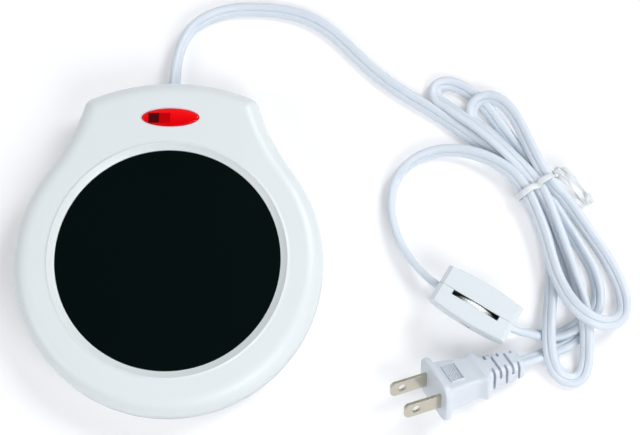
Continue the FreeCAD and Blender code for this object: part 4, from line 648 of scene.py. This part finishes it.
SCREW_END = [(1.4, 0.5), (1.4, 5.2), (2.6, 5.2), (2.7, 5.4), (2.6, 6.1), (2.1, 6.6), (1.2, 6.9), (0.4, 6.95)]
NUT_END = [(1.4, 0.6), (1.4, 4.8), (2.6, 4.8), (2.75, 5.0), (2.75, 6.5), (2.6, 6.7), (1.5, 6.7), (1.4, 7.0)]
fasteners = [sunk_end("switch_screw_sunk", "switch_screw", -1, SCREW_END, 36),
             sunk_end("switch_nut_sunk", "switch_nut", 1, NUT_END, 6)]


RIBS, STEPS_PER_RIB = 44, 6
# Profile of the wheel round its section: place along the axle, radius, and depth of the gaps between ribs
WHEEL = [(-1.95, 8.8, 0), (-1.95, 9.25, 0.3), (-1.8, 9.4, 0.35), (-0.45, 9.4, 0.35), (-0.3, 9.25, 0.3),
         (-0.3, 8.8, 0), (-0.3, 5.0, 0), (2.9, 5.0, 0), (2.9, 1.7, 0), (-3.0, 1.7, 0), (-3.0, 5.0, 0),
         (-1.95, 5.0, 0), (-1.95, 8.8, 0)]


def ribbed_wheel():
    """The thumb wheel: a thin disc with a fine row of ribs round its rim, on a hub."""
    rings = []
    for y, radius, gap in WHEEL:
        ring = []
        for i, angle in enumerate(full_turn(RIBS * STEPS_PER_RIB)):
            reach = radius - (gap if i % STEPS_PER_RIB in (0, 1) else 0)
            ring.append((reach * math.cos(angle), y, AXLE_HEIGHT + reach * math.sin(angle)))
        rings.append(ring)
    piece = lofted("ribbed_wheel", rings, wheel_nylon, (False, False))
    piece.matrix_world = SWITCH
    return own(piece, "wheel", "wheel_white", "thumb_wheel")


wheel = ribbed_wheel()

# Plug: a moulded body from its flange to the ribbed relief, with a gripping pad and two blades

PLUG = (Matrix.Translation(Vector((102.0, -55.7, 13.3)) * MM) @ Matrix.Rotation(math.radians(198.8), 4, "Z")
        @ Matrix.Rotation(math.radians(-13), 4, "Y") @ Matrix.Rotation(math.radians(36), 4, "X"))


def rounded(x, width, height, corner, steps=5):
    """A section across the plug: a rectangle with round corners."""
    points = []
    for n, (sy, sz) in enumerate(((1, 1), (-1, 1), (-1, -1), (1, -1))):
        centre = (sy * (width / 2 - corner), sz * (height / 2 - corner))
        points += [(x, y, z) for y, z in arc(centre, corner, 90 * n, 90 * n + 90, steps)]
    return points


# Sections from the flange to the relief's end: place, width, height, and radius of the corners
PLUG_BODY = [
    (0.0, 22.2, 16.4, 4.0), (-0.3, 23.0, 17.2, 4.3), (-0.8, 23.3, 17.5, 4.5), (-1.9, 23.3, 17.5, 4.5),
    (-2.4, 22.9, 17.1, 4.3), (-2.7, 21.4, 15.6, 3.8), (-2.9, 19.0, 13.0, 2.0), (-3.4, 18.0, 12.2, 1.5),
    (-7.0, 17.0, 11.8, 1.3), (-11.0, 15.8, 11.0, 1.2), (-14.4, 14.6, 9.9, 1.2), (-16.2, 14.4, 9.8, 1.3),
    (-17.4, 15.2, 10.5, 1.5), (-18.5, 17.0, 11.8, 1.8), (-19.1, 17.5, 12.2, 1.9), (-19.9, 17.2, 12.0, 1.9),
    (-20.8, 14.6, 10.8, 2.0), (-21.4, 12.8, 10.1, 2.2), (-22.4, 12.2, 9.9, 2.4), (-27.0, 11.6, 9.5, 2.4),
    (-32.5, 10.8, 8.9, 2.3), (-36.0, 10.2, 8.5, 2.2), (-36.7, 9.7, 8.0, 2.0), (-37.1, 8.6, 7.0, 1.5),
]
# Slots of the relief, seen along it: one down a side, and one that turns a corner, by turns
SIDE_SLOT = [(2.4, -12), (12, -12), (12, 12), (2.4, 12)]
CORNER_SLOT = [(-3.6, 2.9), (3.8, 2.9), (3.8, 0.6), (12, 0.6), (12, 12), (-3.6, 12)]
SLOT_COUNT, FIRST_SLOT, SLOT_PITCH, HALF_SLOT = 5, -23.3, 2.75, 0.54
# Outline of a blade as (along, across), its thickness, its hole, and how far it is off the middle
BLADE = [(-8.0, -3.17), (13.9, -3.17), (15.1, -2.0), (15.1, 2.0), (13.9, 3.17), (-8.0, 3.17)]
BLADE_THICK, HOLE_PLACE, HOLE_RADIUS, BLADE_ASIDE = 1.5, 10.3, 1.55, 6.35
# The pad's four sides and the slant of its ridges; foot, crest and width of its frame and of its ridges
PAD_REAR, PAD_FRONT, PAD_LEFT, PAD_RIGHT, SLANT = -10.8, -5.4, -4.4, 4.8, 1.2
FRAME_FOOT, FRAME_CREST, FRAME_WIDE = 5.2, 6.55, 0.75
RIDGE_FOOT, RIDGE_CREST, RIDGE_WIDE, RIDGE_PITCH, LEAST_RIDGE = 5.3, 6.4, 0.5, 1.3, 0.6


def plug_moulding():
    """The plug's body, with the slots cut across its relief."""
    body = lofted("plug_moulding", [rounded(*row) for row in PLUG_BODY], plug_pvc)
    cuts = bmesh.new()
    for i in range(SLOT_COUNT):
        middle = FIRST_SLOT - SLOT_PITCH * i
        profile = CORNER_SLOT if i % 2 else SIDE_SLOT
        for turn in (-1, 1):
            ends = skinned(cuts, [[(middle + reach, turn * y, turn * z) for y, z in profile]
                                  for reach in (-HALF_SLOT, HALF_SLOT)])
            cuts.faces.new(ends[0][::-1])
            cuts.faces.new(ends[1])
    bmesh.ops.recalc_face_normals(cuts, faces=cuts.faces)
    slots = made("relief_slots", kept_mesh("relief_slots", cuts), plug_pvc)
    body = worked(body, cutter=slots, bevel=0.18, segments=2)
    body.matrix_world = PLUG
    return own(body, "warmer", "plug_white", "plug_body")


def pad_bar(pad, start, end, wide, low, high):
    """Add a bar with a narrower crest to the pad, between two places on the plug's upper face."""
    start, end = Vector(start), Vector(end)
    way = (end - start).normalized()
    aside = Vector((-way.y, way.x)) * wide / 2
    rows = []
    for spread, z in ((aside, low), (aside * 0.4, high)):
        rows.append([pad.verts.new(Vector((p.x, p.y, z)) * MM)
                     for p in (start + spread, start - spread, end - spread, end + spread)])
    bridge(pad, *rows)
    pad.faces.new(rows[1])


def grip_pad():
    """A framed pad of slanting ridges on the plug's upper face."""
    pad = bmesh.new()
    corners = [(PAD_REAR, PAD_LEFT), (PAD_FRONT, PAD_LEFT), (PAD_FRONT, PAD_RIGHT), (PAD_REAR, PAD_RIGHT)]
    for start, end in zip(corners, corners[1:] + corners[:1]):
        pad_bar(pad, start, end, FRAME_WIDE, FRAME_FOOT, FRAME_CREST)
    step = PAD_REAR - (PAD_RIGHT - PAD_LEFT) * SLANT + 0.8
    while step < PAD_FRONT:
        low = max(PAD_LEFT, PAD_LEFT + (PAD_REAR - step) / SLANT)
        high = min(PAD_RIGHT, PAD_LEFT + (PAD_FRONT - step) / SLANT)
        if high - low > LEAST_RIDGE:
            pad_bar(pad, (step + SLANT * (low - PAD_LEFT), low), (step + SLANT * (high - PAD_LEFT), high),
                    RIDGE_WIDE, RIDGE_FOOT, RIDGE_CREST)
        step += RIDGE_PITCH
    bmesh.ops.recalc_face_normals(pad, faces=pad.faces)
    piece = made("grip_pad", kept_mesh("grip_pad", pad), plug_pvc, False)
    piece.matrix_world = PLUG
    return own(piece, "warmer", "plug_white")


def blade(name, y):
    """A flat blade with its tip's corners cut and a hole near the tip."""
    hole = [(HOLE_PLACE + HOLE_RADIUS * math.cos(a), HOLE_RADIUS * math.sin(a)) for a in full_turn(28)]
    flat = bmesh.new()
    border = []
    for loop in (BLADE, hole):
        verts = [flat.verts.new(Vector((x, y - BLADE_THICK / 2, z)) * MM) for x, z in loop]
        border += [flat.edges.new((v, verts[(k + 1) % len(verts)])) for k, v in enumerate(verts)]
    bmesh.ops.triangle_fill(flat, use_beauty=True, edges=border)
    grown = bmesh.ops.extrude_face_region(flat, geom=flat.faces[:])
    bmesh.ops.translate(flat, vec=Vector((0, BLADE_THICK * MM, 0)),
                        verts=[v for v in grown["geom"] if isinstance(v, bmesh.types.BMVert)])
    bmesh.ops.dissolve_limit(flat, angle_limit=math.radians(1), verts=flat.verts, edges=flat.edges)
    bmesh.ops.recalc_face_normals(flat, faces=flat.faces)
    piece = made(name, kept_mesh(name, flat), nickel)
    piece.matrix_world = PLUG
    return own(worked(piece, bevel=0.28, segments=2), "warmer", "blade_metal", "plug_blades")


plug_pieces = [plug_moulding(), grip_pad(), blade("blade_one", BLADE_ASIDE),
               blade("blade_two", -BLADE_ASIDE)]

# Tie: a flat ribbon round the hank, twisted at its right end, with one looped tail and one short one

ALONG = Vector((math.cos(math.radians(-59.2)), math.sin(math.radians(-59.2)), 0))
ACROSS = Vector((-ALONG.y, ALONG.x, 0))
TIE = Vector((144.1, 26.9, 0))
# Points of the ribbons from the tie's middle: across the hank, along it, and up
BAND = [(9.2, 0.4, 6.4), (8.6, 0.2, 8.8), (6.8, 0.3, 10.4), (4.0, 0.4, 11.0), (1.6, 0.3, 10.6),
        (0.6, 1.4, 9.4), (-1.6, 0.4, 10.2), (-4.6, 0.6, 10.6), (-7.2, 0.8, 9.2), (-8.4, 0.6, 5.8),
        (-8.0, 0.2, 2.0), (-5.4, 0, 0.5), (0.0, 0, 0.4), (5.0, 0, 0.4), (8.6, 0, 1.4), (10.0, 0.1, 3.8),
        (9.6, 0.3, 6.0)]
LOOPED_TAIL = [(8.8, 0.2, 7.6), (10.2, -1.2, 9.6), (12.4, -0.6, 9.6), (14.4, 2.6, 8.0), (15.8, 7.0, 5.6),
               (16.6, 11.6, 3.6), (16.4, 15.6, 2.4), (14.8, 16.8, 2.2), (13.2, 13.6, 3.2),
               (12.8, 9.0, 4.8), (11.8, 4.6, 6.6), (10.0, 1.6, 7.4)]
SHORT_TAIL = [(9.0, -0.6, 8.0), (10.6, 0.8, 10.2), (12.6, 2.6, 9.0), (14.6, 6.0, 6.6), (15.4, 10.4, 4.6),
              (17.6, 13.4, 2.6), (17.4, 17.0, 1.4)]
# Half the ribbon's thickness at its edges and in its middle, and the pace of its small wobble
THIN, THICK, WOBBLE = 0.12, 0.2, 1.7


def ribbon(name, points, width, twists):
    """A flat ribbon whose lean in degrees goes from one value to another, with a wobble in radians."""
    line = smooth_line([(TIE + ACROSS * a + ALONG * b + Vector((0, 0, z))) * MM for a, b, z in points])
    last = len(line) - 1
    leans = [math.radians(twists[0] + (twists[1] - twists[0]) * i / last + twists[2] * math.sin(i * WOBBLE))
             for i in range(last + 1)]
    half = width / 2
    section = [(-half, -THIN), (-half * 0.5, -THICK), (half * 0.5, -THICK), (half, -THIN), (half, THIN),
               (half * 0.5, THICK), (-half * 0.5, THICK), (-half, THIN)]
    return own(swept(name, line, leans, [(x * MM, y * MM) for x, y in section], tie_pe, ALONG),
               "warmer", "tie_white")


tie_pieces = [ribbon("tie_band", BAND, 2.7, (-12, 6, 0.16)),
              ribbon("tie_tail_looped", LOOPED_TAIL, 2.1, (20, 420, 0.3)),
              ribbon("tie_tail_short", SHORT_TAIL, 1.9, (-40, 300, 0.3))]
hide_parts("cord_tie")

# Floor and light

# Paper of the floor: white, lit by the lamps, and a little brighter of itself where it is seen
FLOOR_HALF, FLOOR_LEVEL, GLOW_SHARE = 3000, -0.02, 0.16
floor_mat, tree = material("paper_floor")
lit = add(tree, "ShaderNodeBsdfDiffuse", {"Color": srgb("#F4F4F6")})
glow = add(tree, "ShaderNodeEmission", {"Color": (1, 1, 1, 1), "Strength": 1.7})
path = add(tree, "ShaderNodeLightPath")
seen = add(tree, "ShaderNodeMath", {"operation": "ADD"},
           {0: path.outputs["Is Camera Ray"], 1: path.outputs["Is Glossy Ray"]})
seen = add(tree, "ShaderNodeMath", {"operation": "ADD", "use_clamp": True},
           {0: seen.outputs[0], 1: path.outputs["Is Transmission Ray"]})
share = add(tree, "ShaderNodeMath", {"operation": "MULTIPLY"}, {0: seen.outputs[0]})
share.inputs[1].default_value = GLOW_SHARE
both = add(tree, "ShaderNodeMixShader", None,
           {0: share.outputs[0], 1: lit.outputs[0], 2: glow.outputs[0]})
add(tree, "ShaderNodeOutputMaterial", None, {"Surface": both.outputs[0]})
corners = [(FLOOR_HALF * x, FLOOR_HALF * y, FLOOR_LEVEL) for x, y in ((-1, -1), (1, -1), (1, 1), (-1, 1))]
floor = made("floor", mesh_of("floor", corners, [(0, 1, 2, 3)]), floor_mat, False)

world = bpy.data.worlds.new("studio")
world.use_nodes = True
bpy.context.scene.world = world
sky = world.node_tree
sky.nodes.clear()
where = add(sky, "ShaderNodeTexCoord")
split = add(sky, "ShaderNodeSeparateXYZ", None, {"Vector": where.outputs["Generated"]})
band = add(sky, "ShaderNodeValToRGB", None, {"Fac": split.outputs["Z"]})
band.color_ramp.elements[0].position = 0.0
band.color_ramp.elements[0].color = (1.0, 1.0, 1.0, 1)
band.color_ramp.elements[1].position = 0.95
band.color_ramp.elements[1].color = (0.12, 0.13, 0.15, 1)
middle = band.color_ramp.elements.new(0.7)
middle.color = (0.8, 0.85, 0.92, 1)
back = add(sky, "ShaderNodeBackground", {"Strength": 0.48}, {"Color": band.outputs["Color"]})
add(sky, "ShaderNodeOutputWorld", None, {"Surface": back.outputs[0]})


def lamp(name, place, aim, width, watts):
    """A white soft box: a square lamp turned to what it lights, with its places in metres."""
    data = bpy.data.lights.new(name, "AREA")
    data.shape = "SQUARE"
    data.size = width
    data.energy = watts
    obj = bpy.data.objects.new(name, data)
    obj.location = place
    obj.rotation_euler = (Vector(aim) - Vector(place)).to_track_quat("-Z", "Y").to_euler()
    bpy.context.scene.collection.objects.link(obj)


lamp("key_lamp", (0.75, 0.5, 1.0), (0.05, 0.0, 0.0), 0.5, 8.3)
lamp("front_lamp", (0.4, -0.5, 0.6), (0.06, -0.05, 0.0), 0.4, 3.0)
lamp("left_lamp", (-0.75, -0.25, 0.65), (0.08, 0.0, 0.0), 0.5, 2.5)

bpy.context.scene.view_settings.view_transform = "Standard"
